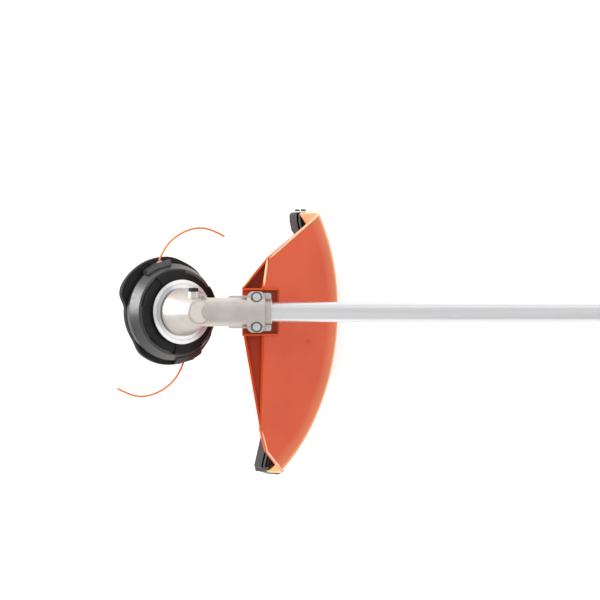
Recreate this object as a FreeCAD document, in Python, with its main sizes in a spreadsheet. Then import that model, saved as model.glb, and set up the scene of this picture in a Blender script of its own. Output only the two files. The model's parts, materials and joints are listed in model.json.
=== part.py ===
import FreeCAD, Part
import math
import os
import Sketcher
from FreeCAD import Placement, Rotation, Vector

# Brush cutter. Lengths are millimetres and angles degrees.
# Shaft axes: the origin is where the tube's axis crosses the mowing head's axis,
# +X runs back along the tube to the user, +Z is up and the tube lies level.
# Head axes: the same origin, tilted by head_tilt about Y, with +Z up the head's axis.
# Guard axes: the head axes turned by guard_turn about the head's axis and moved to the
# middle of the guard's round rim.
# The whole machine is then moved by origin_x, origin_y and origin_z, so that the part's
# own origin is in the middle of its box, on the ground.

DIMENSIONS = {
    "origin_x": -797.83, "origin_y": 38.31, "origin_z": 179.97,
    "slip": 0.05,
    # tube, drive shaft and gearbox
    "tube_radius": 12.7, "tube_wall": 1.5, "tube_start": 44, "tube_end": 1446,
    "drive_radius": 3.5, "drive_start": 27, "drive_end": 1462, "drive_square": 4.8,
    "bush_length": 40, "bush_spacing": 270,
    "head_tilt": 29, "cap_radius": 15, "cap_level": 22, "cone_radius": 30,
    "cone_foot": 18.4, "housing_foot": 22.5, "neck_radius": 18, "neck_end": 92,
    "collar_radius": 16, "collar_end": 101, "seat_start": 42, "pinion_bore": 12.05,
    "plug_along": 3, "plug_up": 7, "plug_radius": 6.25, "plug_height": 5, "boss_end": 25.2,
    "bearing_outer": 12, "bearing_inner": 6, "bearing_width": 6,
    "upper_bearing_outer": 9.5, "upper_bearing_inner": 4, "upper_bearing_level": 17.8,
    "upper_bearing_width": 3,
    "lower_bearing_outer": 14, "lower_bearing_inner": 6, "lower_bearing_level": 17.5,
    "lower_bearing_width": 8, "carrier_radius": 24, "carrier_top": 9.3,
    "pinion_teeth": 11, "gear_teeth": 19, "cone_near": 13.2, "cone_far": 19,
    "gear_top": 3.4, "gear_back": 8.5, "arbor_radius": 5, "shaft_bottom": 70,
    # mowing head
    "plate_radius": 40.5, "plate_top": 24, "plate_bottom": 27,
    "wrap_radius": 53.5, "wrap_low_radius": 50.5, "wrap_top": 29.4, "wrap_bottom": 36,
    "dome_radius": 61, "dome_shoulder": 51, "dome_bottom": 57, "shell": 2.5,
    "hub_radius": 9, "hub_bottom": 60.2, "boss_reach": 65.2, "boss_width": 27,
    "eyelet_level": 54.5, "eyelet_angle": 105, "eyelet_radius": 4.5,
    "lobe_radius": 67.5, "notch_radius": 61.5, "flange_top": 57.2, "flange_bottom": 65.5,
    "cup_radius": 58, "cup_bottom": 76, "cup_opening": 40, "sleeve_radius": 12,
    "spool_radius": 51, "spool_core": 24, "spool_top": 45, "spool_bottom": 60,
    "coil_radius": 43, "knob_radius": 36.5, "knob_bottom": 95, "knob_grips": 12,
    "line_radius": 1.2,
    # guard, skirt and clamp
    "guard_shift": -16, "guard_turn": -13.06, "rim_radius": 232, "rim_bottom": 46,
    "guard_wall": 3, "sheet_height": 81.7, "sheet_slope": 0.5057, "rim_round": 15,
    "skirt_outer": 230.5, "skirt_inner": 221.5, "skirt_bottom": 78,
    "skirt_turn": 104, "skirt_end": 127.5, "skirt_turn_inner": 186, "skirt_turn_outer": 195,
    "clamp_start": 70, "clamp_end": 92.5, "clamp_half": 26, "clamp_arch": 21.2,
    "screw_along": 81.8, "screw_side": 18.5, "screw_radius": 2.5, "screw_head": 6.1,
    "ear_top": 9, "bracket_top": -18.1, "bracket_bottom": -21.4,
    "box_start": 64, "box_end": 110, "box_half": 30, "floor_top": -21.5, "floor_bottom": -25,
    # loop handle and carrying ring
    "loop_along": 900, "loop_radius": 11, "loop_clamp_half": 24, "loop_clamp_side": 32,
    "ring_along": 1010, "ring_eye": 7.5, "ring_eye_up": 30,
    # rear grip
    "grip_start": 1112, "grip_end": 1302, "grip_radius": 19,
    "trigger_pivot": 1160, "trigger_drop": 26, "lock_pivot": 1246, "lock_up": 20,
    "button_along": 1146,
    # power unit
    "unit_start": 1392, "unit_end": 1580, "unit_half": 54, "motor_along": 1480,
    "bay_end": 1650, "bay_half": 47, "bay_top": -56, "bay_bottom": -166,
    "pack_length": 168, "pack_half": 40, "foot_radius": 10,
    "cell_radius": 9.2, "cell_length": 64,
}

# The two trimmer lines' routes, across the head from its axis, on the eyelets' level.
LINE_ROUTE = [
    (-17.2, 64.2),
    (-12.7, 75.0),
    (-0.9, 90.0),
    (17.6, 101.6),
    (40.0, 107.4),
    (60.8, 103.2),
    (75.8, 95.8),
]

# How far the cutting tools reach past the part.
FAR = 320

# The guard's front edge from the +Y tip to the -Y tip, in the guard axes.
GUARD_FRONT = [
    (154.4, 188.6),
    (60.3, 100.2),
    (62.6, 57.6),
    (79.7, 5.2),
    (112.2, -109.5),
    (130.4, -132.9),
    (177.6, -155.3),
]

# The skirt's hooked -Y end and the reach of the grooves in its inner face, in the head axes.
HOOK = [
    (143.5, -150),
    (131.5, -197),
    (134.5, -203.5),
    (150, -208.15),
    (158, -203),
    (141.5, -194),
    (152.5, -150),
]
HOOK_GROOVE = [
    (110, -140),
    (148, -140),
    (145.5, -150),
    (133.7, -196.5),
    (136.2, -201.8),
    (151, -206.2),
    (151, -215),
    (110, -215),
]

# The sides of the cut that makes each notch in the lobed flange.
SCALLOPS = 6
STANDING = Rotation()
ALONG = Rotation(Vector(0, 1, 0), 90)
ACROSS = Rotation(Vector(1, 0, 0), -90)
HEAD = Rotation(Vector(0, 1, 0), DIMENSIONS["head_tilt"])


class Size:
    """A number with the sheet expression that gives it."""

    def __init__(self, value, text):
        self.value = value
        self.text = text

    def __add__(self, other):
        other = as_size(other)
        return Size(self.value + other.value, f"({self.text} + {other.text})")

    def __radd__(self, other):
        return as_size(other) + self

    def __sub__(self, other):
        other = as_size(other)
        return Size(self.value - other.value, f"({self.text} - {other.text})")

    def __rsub__(self, other):
        return as_size(other) - self

    def __mul__(self, other):
        other = as_size(other)
        return Size(self.value * other.value, f"({self.text} * {other.text})")

    def __rmul__(self, other):
        return as_size(other) * self

    def __neg__(self):
        return 0 - self


def as_size(number):
    return number if isinstance(number, Size) else Size(number, f"({number})")


def sine(angle):
    return Size(math.sin(math.radians(angle.value)), f"sin({angle.text})")


def cosine(angle):
    return Size(math.cos(math.radians(angle.value)), f"cos({angle.text})")


document = FreeCAD.newDocument("brush_cutter")
sheet = document.addObject("Spreadsheet::Sheet", "Dims")
for row, (name, number) in enumerate(DIMENSIONS.items(), start=1):
    sheet.set(f"A{row}", name)
    sheet.set(f"B{row}", str(number))
    sheet.setAlias(f"B{row}", name)
document.recompute()


class Dimensions:
    """The sheet's cells, each read by its name as a Size."""

    def __getattr__(self, name):
        return Size(DIMENSIONS[name], f"Dims.{name}")


dims = Dimensions()
nodes = {}


def bind(thing, name, number):
    """Sets one property from a Size, through the sheet, or from a plain number."""
    if isinstance(number, Size):
        thing.setExpression(name, number.text)
    else:
        thing.setExpression(name, str(number))


def put(thing, rotation=STANDING, along=0, side=0, up=0):
    """Places an object in the shaft axes and moves it to the part's own origin."""
    thing.Placement = Placement(Vector(), rotation)
    bind(thing, "Placement.Base.x", along + dims.origin_x)
    bind(thing, "Placement.Base.y", side + dims.origin_y)
    bind(thing, "Placement.Base.z", up + dims.origin_z)


def keep(label, thing):
    """Names an object as one of the machine's sub-parts."""
    thing.Label = label
    nodes[label] = thing
    return thing


class Circle:
    def __init__(self, x, y, radius):
        self.x = x
        self.y = y
        self.radius = radius


class Piece:
    """A body whose sketches lie on its own origin planes."""

    def __init__(self, name, rotation=STANDING, along=0, side=0, up=0):
        self.body = document.addObject("PartDesign::Body", name)
        self.body.Label = name
        put(self.body, rotation, along, side, up)

    def sketch(self, role, offset, loops):
        sketch = self.body.newObject("Sketcher::SketchObject", "Sketch")
        plane = next(f for f in self.body.Origin.OriginFeatures if f.Role == role)
        sketch.AttachmentSupport = (plane, [""])
        sketch.MapMode = "FlatFace"
        bind(sketch, "AttachmentOffset.Base.z", offset)
        for loop in loops:
            if isinstance(loop, Circle):
                draw_circle(sketch, loop)
            else:
                draw_polygon(sketch, loop)
        return sketch

    def turn(self, points, cut=False):
        """Revolves (radius, level) points about the body's Z axis."""
        sketch = self.sketch("XZ_Plane", 0, [points])
        kind = "PartDesign::Groove" if cut else "PartDesign::Revolution"
        before = self.volume() if cut else 0
        feature = self.body.newObject(kind, "Turn")
        feature.Profile = sketch
        feature.ReferenceAxis = (sketch, ["V_Axis"])
        feature.Angle = 360
        sketch.Visibility = False
        self.settle(cut, before)
        return feature

    def pad(self, loops, start, length, role="XY_Plane", cut=False):
        """Extrudes loops from start by length along the plane's own axis."""
        offset = -(as_size(start) + length) if role == "XZ_Plane" else start
        before = self.volume() if cut else 0
        sketch = self.sketch(role, offset, loops)
        feature = self.body.newObject("PartDesign::Pocket" if cut else "PartDesign::Pad", "Pad")
        feature.Profile = sketch
        bind(feature, "Length", length)
        feature.Reversed = cut
        self.settle(cut, before)
        return feature

    def cut(self, loops, start, length, role="XY_Plane"):
        return self.pad(loops, start, length, role, cut=True)

    def repeat(self, feature, count):
        """Repeats a feature evenly about the body's Z axis."""
        axis = next(f for f in self.body.Origin.OriginFeatures if f.Role == "Z_Axis")
        pattern = self.body.newObject("PartDesign::PolarPattern", "Pattern")
        pattern.Originals = [feature]
        pattern.Axis = (axis, [""])
        pattern.Angle = 360
        bind(pattern, "Occurrences", count)
        self.body.Tip = pattern
        document.recompute()

    def soften(self, radius, chosen, kind="PartDesign::Fillet"):
        """Rounds or bevels the tip's edges for which chosen(edge) is true."""
        tip = self.body.Tip
        names = [f"Edge{i}" for i, e in enumerate(tip.Shape.Edges, start=1) if chosen(e)]
        if not names:
            raise RuntimeError(f"{self.body.Label}: no edge to round")
        feature = self.body.newObject(kind, "Soften")
        feature.Base = (tip, names)
        bind(feature, "Radius" if kind.endswith("Fillet") else "Size", radius)
        document.recompute()

    def volume(self):
        return self.body.Tip.Shape.Volume

    def settle(self, cut, before):
        document.recompute()
        if cut and self.volume() >= before - 1e-6:
            raise RuntimeError(f"{self.body.Label}: a cut took nothing away")


def draw_polygon(sketch, points):
    sizes = [(as_size(x), as_size(y)) for x, y in points]
    first = sketch.GeometryCount
    count = len(sizes)
    for i, (x, y) in enumerate(sizes):
        next_x, next_y = sizes[(i + 1) % count]
        line = Part.LineSegment(Vector(x.value, y.value, 0), Vector(next_x.value, next_y.value, 0))
        sketch.addGeometry(line, False)
    for i in range(count):
        following = first + (i + 1) % count
        sketch.addConstraint(Sketcher.Constraint("Coincident", first + i, 2, following, 1))
    for i, corner in enumerate(sizes):
        fix_point(sketch, first + i, 1, corner)


def draw_circle(sketch, circle):
    x, y, radius = as_size(circle.x), as_size(circle.y), as_size(circle.radius)
    round_edge = Part.Circle(Vector(x.value, y.value, 0), Vector(0, 0, 1), radius.value)
    index = sketch.addGeometry(round_edge, False)
    fix_point(sketch, index, 3, (x, y))
    constraint = sketch.addConstraint(Sketcher.Constraint("Radius", index, radius.value))
    sketch.setExpression(f"Constraints[{constraint}]", radius.text)


def fix_point(sketch, index, place, corner):
    """Dimensions one point from the sketch's origin in both directions."""
    for kind, size in zip(("DistanceX", "DistanceY"), corner):
        rule = Sketcher.Constraint(kind, -1, 1, index, place, size.value)
        constraint = sketch.addConstraint(rule)
        sketch.setExpression(f"Constraints[{constraint}]", size.text)


def oblong(x0, x1, y0, y1):
    return [(x0, y0), (x1, y0), (x1, y1), (x0, y1)]


def hexagon(x, y, inner):
    """A hexagon round (x, y), inner from its middle to each flat."""
    corner = inner * (2 / math.sqrt(3))
    turns = [math.radians(60 * i) for i in range(6)]
    return [(x + corner * math.cos(a), y + corner * math.sin(a)) for a in turns]


def fuse(name, things, refine=True):
    result = document.addObject("Part::MultiFuse", name)
    result.Shapes = [thing.body if isinstance(thing, Piece) else thing for thing in things]
    result.Refine = refine
    result.Label = name
    document.recompute()
    return result


def cut(name, base, tools):
    """Takes several tools away from a base at once."""
    result = document.addObject("Part::Cut", name)
    result.Base = base.body if isinstance(base, Piece) else base
    if len(tools) == 1:
        result.Tool = tools[0].body if isinstance(tools[0], Piece) else tools[0]
    else:
        result.Tool = fuse(f"{name}_tools", tools, False)
    result.Refine = True
    result.Label = f"{name}_cut"
    document.recompute()
    if result.Shape.Volume >= result.Base.Shape.Volume - 1e-6:
        raise RuntimeError(f"{name}: the cut took nothing away")
    return result


def common(name, first, second):
    result = document.addObject("Part::Common", name)
    result.Base = first
    result.Tool = second
    result.Refine = True
    result.Label = name
    document.recompute()
    return result


def group(label, things):
    """One sub-part of several like pieces, each a solid of its own."""
    result = document.addObject("Part::Compound", label)
    result.Links = [thing.body if isinstance(thing, Piece) else thing for thing in things]
    document.recompute()
    return keep(label, result)


def box(name, x, y, z, rotation=STANDING):
    """A Part::Box between pairs of sizes along X, Y and Z."""
    result = document.addObject("Part::Box", name)
    result.Label = name
    bind(result, "Length", as_size(x[1]) - x[0])
    bind(result, "Width", as_size(y[1]) - y[0])
    bind(result, "Height", as_size(z[1]) - z[0])
    put(result, rotation, x[0], y[0], z[0])
    document.recompute()
    return result


def rod(name, radius, length, rotation=STANDING, along=0, side=0, up=0):
    result = document.addObject("Part::Cylinder", name)
    result.Label = name
    bind(result, "Radius", radius)
    bind(result, "Height", length)
    put(result, rotation, along, side, up)
    document.recompute()
    return result


def ring(name, inner, outer, low, high, rotation, along=0):
    """A turned ring with small bevels on its outer edges."""
    bevel = 0.4
    piece = Piece(name, rotation, along)
    piece.turn(
        [
            (inner, low),
            (outer - bevel, low),
            (outer, low + bevel),
            (outer, high - bevel),
            (outer - bevel, high),
            (inner, high),
        ]
    )
    return piece


def route_of(points):
    """A path of straight runs and tangent arcs through a route's points."""
    corners = [Vector(*point) for point in points]
    edges = []
    radii = []
    start = corners[0]
    for before, corner, after in zip(corners, corners[1:], corners[2:]):
        back = (before - corner).normalize()
        ahead = (after - corner).normalize()
        turn = math.pi - back.getAngle(ahead)
        shorter = min((before - corner).Length, (after - corner).Length)
        reach = 0.45 * shorter
        radius = reach / math.tan(turn / 2)
        middle = (back + ahead).normalize()
        centre = corner + middle * math.hypot(reach, radius)
        inner = centre - middle * radius
        entry = corner + back * reach
        leave = corner + ahead * reach
        edges.append(Part.LineSegment(start, entry).toShape())
        edges.append(Part.Arc(entry, inner, leave).toShape())
        radii.append(radius)
        start = leave
    edges.append(Part.LineSegment(start, corners[-1]).toShape())
    return Part.Wire(edges), radii


def bar_along(points, radius):
    """A round bar along a route, with the arcs' radii."""
    path, radii = route_of(points)
    start = Vector(*points[0])
    heading = Vector(*points[1]) - start
    profile = Part.Wire(Part.Circle(start, heading, radius).toShape())
    bar = path.makePipeShell([profile], True, False)
    expected = math.pi * radius**2 * path.Length
    if abs(bar.Volume / expected - 1) > 0.01:
        raise RuntimeError("a bar's volume doesn't match its section and length")
    return bar, radii, path.Length


def shaped(label, shape, rotation=STANDING, along=0, side=0, up=0):
    """A Part::Feature for a shape that sketches and primitives can't give."""
    feature = document.addObject("Part::Feature", label)
    feature.Label = label
    feature.Shape = shape
    put(feature, rotation, along, side, up)
    document.recompute()
    return feature


# ---------------------------------------------------------------- gearbox


def gearbox_housing():
    cone = Piece("gearbox_cone", HEAD)
    cone.turn(
        [
            (0, -dims.housing_foot),
            (dims.cone_radius, -dims.housing_foot),
            (dims.cone_radius, -dims.cone_foot),
            (dims.cap_radius, dims.cap_level),
            (0, dims.cap_level),
        ]
    )
    cap_edge = dims.cap_level.value
    cone.soften(3, lambda e: e.CenterOfMass.z > cap_edge - 1 and abs(e.Length - 94.2) < 1)
    neck = Piece("gearbox_neck", ALONG)
    neck.turn(
        [
            (0, 0),
            (dims.neck_radius, 0),
            (dims.neck_radius, dims.neck_end - 1),
            (dims.neck_radius - 1, dims.neck_end),
            (dims.collar_radius, dims.neck_end),
            (dims.collar_radius, dims.collar_end - 1),
            (dims.collar_radius - 1, dims.collar_end),
            (0, dims.collar_end),
        ]
    )
    boss = rod("plug_boss", 8, dims.boss_end, ACROSS, dims.plug_along, 0, dims.plug_up)
    pin_boss = rod("pin_boss", 4.5, 12, STANDING, 14.5, 18.6, -4)
    outside = fuse("gearbox_outside", [cone, neck, boss, pin_boss])

    hollow = Piece("gearbox_hollow", HEAD)
    seat = dims.upper_bearing_outer + dims.slip
    bearing_top = dims.upper_bearing_level + dims.upper_bearing_width
    hollow.turn(
        [
            (0, -dims.housing_foot - 1),
            (dims.carrier_radius + dims.slip, -dims.housing_foot - 1),
            (dims.carrier_radius + dims.slip, -dims.carrier_top),
            (dims.carrier_radius - 2.4, -dims.carrier_top),
            (dims.carrier_radius - 3.5, 0),
            (seat, dims.upper_bearing_level),
            (seat, bearing_top),
            (0, bearing_top),
        ]
    )
    bore = Piece("gearbox_bore", ALONG)
    bore.turn(
        [
            (0, 4),
            (dims.pinion_bore, 4),
            (dims.pinion_bore, dims.seat_start),
            (dims.tube_radius + dims.slip, dims.seat_start),
            (dims.tube_radius + dims.slip, dims.collar_end + 1),
            (0, dims.collar_end + 1),
        ]
    )
    plug_thread = rod("plug_thread_hole", 4.05, 26, ACROSS, dims.plug_along, 0, dims.plug_up)
    pin_hole = rod("pin_hole", 1.6, 5, STANDING, 14.5, 18.6, 4)
    grooves = [
        rod("screw_groove", 3.3, 60, STANDING, dims.screw_along, side * dims.screw_side, -30)
        for side in (-1, 1)
    ]
    head_seats = [
        rod("screw_head_seat", dims.screw_head + 0.25, 20, STANDING, dims.screw_along,
            side * dims.screw_side, dims.ear_top - 5)
        for side in (-1, 1)
    ]
    tools = [hollow, bore, plug_thread, pin_hole, *grooves, *head_seats]
    keep("gearbox_housing", cut("gearbox_casting", outside, tools))


def grease_plug():
    plug = Piece("grease_plug", ACROSS, dims.plug_along, 0, dims.plug_up)
    head_top = dims.boss_end + dims.plug_height
    plug.turn(
        [
            (0, 17),
            (4, 17),
            (4, dims.boss_end + 0.1),
            (dims.plug_radius, dims.boss_end + 0.1),
            (dims.plug_radius, head_top - 0.8),
            (dims.plug_radius - 0.8, head_top),
            (0, head_top),
        ]
    )
    plug.cut([oblong(-1, 1, -5, 5)], head_top - 1.6, 2)
    keep("grease_plug", plug.body)


def gearbox_bearings():
    upper = dims.upper_bearing_level
    lower = dims.lower_bearing_level
    wide = dims.bearing_width
    upper_top = upper + dims.upper_bearing_width - 0.1
    lower_top = dims.lower_bearing_width - lower
    race = 2.2
    rings = [
        ring("upper_outer", dims.upper_bearing_outer - race, dims.upper_bearing_outer,
             upper + 0.1, upper_top, HEAD),
        ring("lower_outer", dims.lower_bearing_outer - race, dims.lower_bearing_outer,
             -lower, lower_top, HEAD),
        ring("pinion_front_outer", dims.bearing_outer - race, dims.bearing_outer,
             0, wide, ALONG, 17.2),
        ring("pinion_rear_outer", dims.bearing_outer - race, dims.bearing_outer,
             0, wide, ALONG, 28),
    ]
    group("bearing_outer_rings", rings)
    slip = dims.slip
    shaft_rings = [
        ring("upper_inner", dims.upper_bearing_inner + slip, dims.upper_bearing_inner + race,
             upper + 0.1, upper_top, HEAD),
        ring("lower_inner", dims.lower_bearing_inner + slip, dims.lower_bearing_inner + race,
             -lower, lower_top, HEAD),
    ]
    group("output_bearing_inners", shaft_rings)
    pinion_rings = [
        ring("pinion_inner", dims.bearing_inner + slip, dims.bearing_inner + race,
             0, wide, ALONG, along)
        for along in (17.2, 28)
    ]
    group("pinion_bearing_inners", pinion_rings)


def bearing_carrier():
    carrier = Piece("bearing_carrier", HEAD)
    inner = dims.lower_bearing_outer + dims.slip
    top = dims.lower_bearing_width - dims.lower_bearing_level
    carrier.turn(
        [
            (inner, -dims.housing_foot + 1.2),
            (dims.carrier_radius, -dims.housing_foot + 1.2),
            (dims.carrier_radius, top + 0.1),
            (inner, top + 0.1),
        ]
    )
    keep("bearing_carrier", carrier.body)
    circlip = Piece("retaining_ring", HEAD)
    circlip.pad([Circle(0, 0, dims.lower_bearing_outer), Circle(0, 0, 11.6)],
                -dims.lower_bearing_level - 1.5, 1.3)
    circlip.cut([oblong(-16, -10, -2.5, 2.5)], -dims.lower_bearing_level - 2, 3)
    keep("retaining_ring", circlip.body)


def bevel_teeth(count, cone, near, far, height, root, phase):
    """Bevel teeth that taper to the origin, standing on a cone about +Z."""
    pitch = 2 * math.pi * math.sin(cone) / count
    teeth = []
    for i in range(count):
        spin = Rotation(Vector(0, 0, 1), math.degrees(phase + 2 * math.pi * i / count))
        sections = []
        for distance in (near, far):
            along = Vector(math.sin(cone), 0, math.cos(cone)) * distance
            outward = Vector(math.cos(cone), 0, -math.sin(cone))
            scale = distance / far
            foot = pitch * distance * 0.22
            tip = pitch * distance * 0.11
            corners = [
                along - outward * (root * scale) + Vector(0, -foot * 1.15, 0),
                along + outward * (height * scale) + Vector(0, -tip, 0),
                along + outward * (height * scale) + Vector(0, tip, 0),
                along - outward * (root * scale) + Vector(0, foot * 1.15, 0),
            ]
            turned = [spin.multVec(corner) for corner in corners]
            sections.append(Part.makePolygon([*turned, turned[0]]))
        teeth.append(Part.makeLoft(sections, True, True))
    return teeth


def bevel_gears():
    shaft_angle = math.radians(90 + dims.head_tilt.value)
    ratio = dims.pinion_teeth.value / dims.gear_teeth.value
    pinion_cone = math.atan2(math.sin(shaft_angle), 1 / ratio + math.cos(shaft_angle))
    gear_cone = shaft_angle - pinion_cone
    near, far = dims.cone_near.value, dims.cone_far.value
    root = 1.3
    height = 0.95

    low = near * math.cos(pinion_cone)
    high = far * math.cos(pinion_cone)
    hub = Part.makeCone(near * math.sin(pinion_cone) - root, far * math.sin(pinion_cone) - root,
                        high - low, Vector(0, 0, low))
    journal = Part.makeCylinder(dims.bearing_inner.value, 36.5 - high, Vector(0, 0, high))
    shoulder = Part.makeCylinder(7.6, 0.8, Vector(0, 0, high))
    teeth = bevel_teeth(int(dims.pinion_teeth.value), pinion_cone, near, far, height, root * 1.6, 0)
    solid = hub.multiFuse([journal, shoulder, *teeth]).removeSplitter()
    half = dims.drive_square.value / 2 + 0.05
    socket = Part.makeBox(2 * half, 2 * half, 14, Vector(-half, -half, 24))
    keep("pinion", shaped("pinion", solid.cut(socket), ALONG))

    outer = far * math.sin(gear_cone)
    back = dims.gear_back.value
    web = Part.makeCylinder(outer - 0.4, back - dims.gear_top.value, Vector(0, 0, dims.gear_top.value))
    phase = math.pi + math.pi / dims.gear_teeth.value
    teeth = bevel_teeth(int(dims.gear_teeth.value), gear_cone, near, far, height, root * 1.6, phase)
    solid = web.multiFuse(teeth).removeSplitter()
    bore = Part.makeCylinder(dims.arbor_radius.value + 0.05, 3 * back, Vector(0, 0, -back))
    downward = HEAD.multiply(Rotation(Vector(0, 1, 0), 180))
    keep("bevel_gear", shaped("bevel_gear", solid.cut(bore), downward))


def output_shaft():
    shaft = Piece("output_shaft", HEAD)
    seat = dims.lower_bearing_inner
    shaft.turn(
        [
            (0, -dims.shaft_bottom),
            (dims.arbor_radius - 0.8, -dims.shaft_bottom),
            (dims.arbor_radius, -dims.shaft_bottom + 0.8),
            (dims.arbor_radius, -dims.plate_bottom - 0.1),
            (seat, -dims.plate_bottom - 0.1),
            (seat, -dims.gear_back - 0.1),
            (dims.arbor_radius, -dims.gear_back - 0.1),
            (dims.arbor_radius, -dims.gear_top + 0.2),
            (dims.upper_bearing_inner, -dims.gear_top + 0.2),
            (dims.upper_bearing_inner, dims.upper_bearing_level + dims.upper_bearing_width - 0.3),
            (0, dims.upper_bearing_level + dims.upper_bearing_width - 0.3),
        ]
    )
    keep("output_shaft", shaft.body)


# ---------------------------------------------------------------- mowing head


def thrust_plate():
    plate = Piece("thrust_plate", HEAD)
    bore = dims.lower_bearing_inner + dims.slip
    radius = dims.plate_radius
    plate.turn(
        [
            (bore, -dims.plate_bottom),
            (radius - 1, -dims.plate_bottom),
            (radius, -dims.plate_bottom + 1),
            (radius, -dims.plate_top - 0.6),
            (radius - 0.6, -dims.plate_top),
            (radius - 4.5, -dims.plate_top),
            (radius - 4.8, -dims.plate_top - 0.9),
            (radius - 5.6, -dims.plate_top - 0.9),
            (radius - 5.9, -dims.plate_top),
            (9, -dims.plate_top),
            (9, -dims.lower_bearing_level - 0.1),
            (bore, -dims.lower_bearing_level - 0.1),
        ]
    )
    keep("thrust_plate", plate.body)


def wrap_ring():
    wrap = Piece("wrap_ring", HEAD)
    seat = dims.plate_radius + 0.3
    wrap.turn(
        [
            (dims.arbor_radius + 0.1, -dims.wrap_bottom),
            (dims.wrap_low_radius, -dims.wrap_bottom),
            (dims.wrap_low_radius, -dims.wrap_top - 2.6),
            (dims.wrap_low_radius - 1.2, -dims.wrap_top - 1.4),
            (seat, -dims.wrap_top - 1.4),
            (seat, -dims.plate_bottom - 2.6),
            (dims.arbor_radius + 0.1, -dims.plate_bottom - 2.6),
        ]
    )
    outer = dims.wrap_radius.value
    half = math.radians(22.5)
    inner = dims.plate_radius.value + 0.3
    middle = math.radians(14.5)
    wedge = [
        (inner * math.cos(middle - half), inner * math.sin(middle - half)),
        (1.2 * outer * math.cos(middle - half), 1.2 * outer * math.sin(middle - half)),
        (1.2 * outer * math.cos(middle + half), 1.2 * outer * math.sin(middle + half)),
        (inner * math.cos(middle + half), inner * math.sin(middle + half)),
    ]
    sector = Piece("wrap_sectors", HEAD)
    first = sector.pad([wedge], -dims.wrap_bottom, dims.wrap_bottom - dims.wrap_top)
    shapes = Piece("wrap_outside", HEAD)
    shapes.turn(
        [
            (seat, -dims.wrap_bottom),
            (dims.wrap_radius, -dims.wrap_bottom),
            (dims.wrap_radius, -dims.wrap_top - 1.5),
            (dims.wrap_radius - 1.5, -dims.wrap_top),
            (seat, -dims.wrap_top),
        ]
    )
    sector.repeat(first, 4)
    raised = common("wrap_raised", shapes.body, sector.body)
    spacer = ring("wrap_spacer", dims.arbor_radius + 0.1, 16,
                  -dims.plate_bottom - 2.7, -dims.plate_bottom - 0.1, HEAD)
    keep("wrap_ring", fuse("wrap_ring", [wrap, raised, spacer]))


def down_axis(level):
    """The place on the head's axis at a level of the head axes."""
    level = as_size(level)
    return level * sine(dims.head_tilt), 0, level * cosine(dims.head_tilt)


def boss_loop(reach, width, angle):
    """The outline of a boss that stands out from the head at an angle."""
    turn = math.radians(angle)
    out = Vector(math.cos(turn), math.sin(turn), 0)
    side = Vector(-math.sin(turn), math.cos(turn), 0)
    corners = []
    for along, across in ((40, -1), (reach, -0.88), (reach, 0.88), (40, 1)):
        point = out * along + side * (across * width / 2)
        corners.append((point.x, point.y))
    return corners


def head_housing():
    top = -dims.wrap_bottom - 0.1
    shell = dims.shell
    outside = Piece("dome_outside", HEAD)
    outside.turn(
        [
            (0, top),
            (dims.wrap_radius - 1, top),
            (dims.wrap_radius + 1.2, top - 1.2),
            (dims.dome_radius - 1.5, -dims.dome_shoulder + 3),
            (dims.dome_radius, -dims.dome_shoulder),
            (dims.dome_radius, -dims.dome_bottom),
            (0, -dims.dome_bottom),
        ]
    )
    bosses = Piece("dome_bosses", HEAD)
    for angle in (dims.eyelet_angle.value, dims.eyelet_angle.value + 180):
        loop = boss_loop(dims.boss_reach.value, dims.boss_width.value, angle)
        bosses.pad([loop], -dims.dome_bottom, 10.5)
    bosses.pad([Circle(0, 0, 45)], -dims.dome_bottom, 1)
    solid = fuse("dome_solid", [outside, bosses])
    inside = Piece("dome_inside", HEAD)
    inside.turn(
        [
            (dims.hub_radius, top - shell),
            (dims.wrap_radius - shell, top - shell),
            (dims.dome_radius - shell - 1.5, -dims.dome_shoulder),
            (dims.dome_radius - shell - 1.5, -dims.dome_bottom - 1),
            (dims.hub_radius, -dims.dome_bottom - 1),
        ]
    )
    bore = rod("dome_bore", dims.arbor_radius + 0.1, 40, HEAD, *down_axis(-dims.hub_bottom - 2))
    recess = Piece("eyelet_recess", HEAD)
    for angle in (dims.eyelet_angle.value, dims.eyelet_angle.value + 180):
        loop = boss_loop(dims.boss_reach.value + 3, 9, angle)
        recess.pad([loop], -dims.eyelet_level - 2.4, 7)
    recess.pad([Circle(0, 0, 45)], -dims.eyelet_level - 2.4, 1)
    keep_hub = rod("hub_keep", dims.hub_radius, 60, HEAD, *down_axis(-60))
    recess_ring = cut("recess_ring", recess, [keep_hub])
    hub = Piece("dome_hub", HEAD)
    hub.pad([Circle(0, 0, dims.hub_radius)], -dims.hub_bottom, dims.hub_bottom - dims.dome_bottom + 2)
    hollowed = cut("dome_hollow", solid, [inside, recess_ring])
    hubbed = fuse("dome_hubbed", [hollowed, hub])
    keep("head_housing", cut("head_housing", hubbed, [bore, *eyelet_rooms()]))


def outward_of(number):
    """The way out from the head's axis through the first or second eyelet."""
    angle = dims.eyelet_angle.value + 180 * number
    return HEAD.multiply(Rotation(Vector(0, 0, 1), angle)).multiply(ALONG)


def eyelet_rooms():
    """What the eyelets' outer flanges take out of the dome and the flange below it."""
    room = dims.eyelet_radius - 0.3
    rooms = []
    for number in range(2):
        piece = Piece(f"eyelet_room_{number}", outward_of(number), *down_axis(-dims.eyelet_level))
        piece.pad([Circle(0, 0, room)], 58, 12)
        rooms.append(piece)
    return rooms


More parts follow.
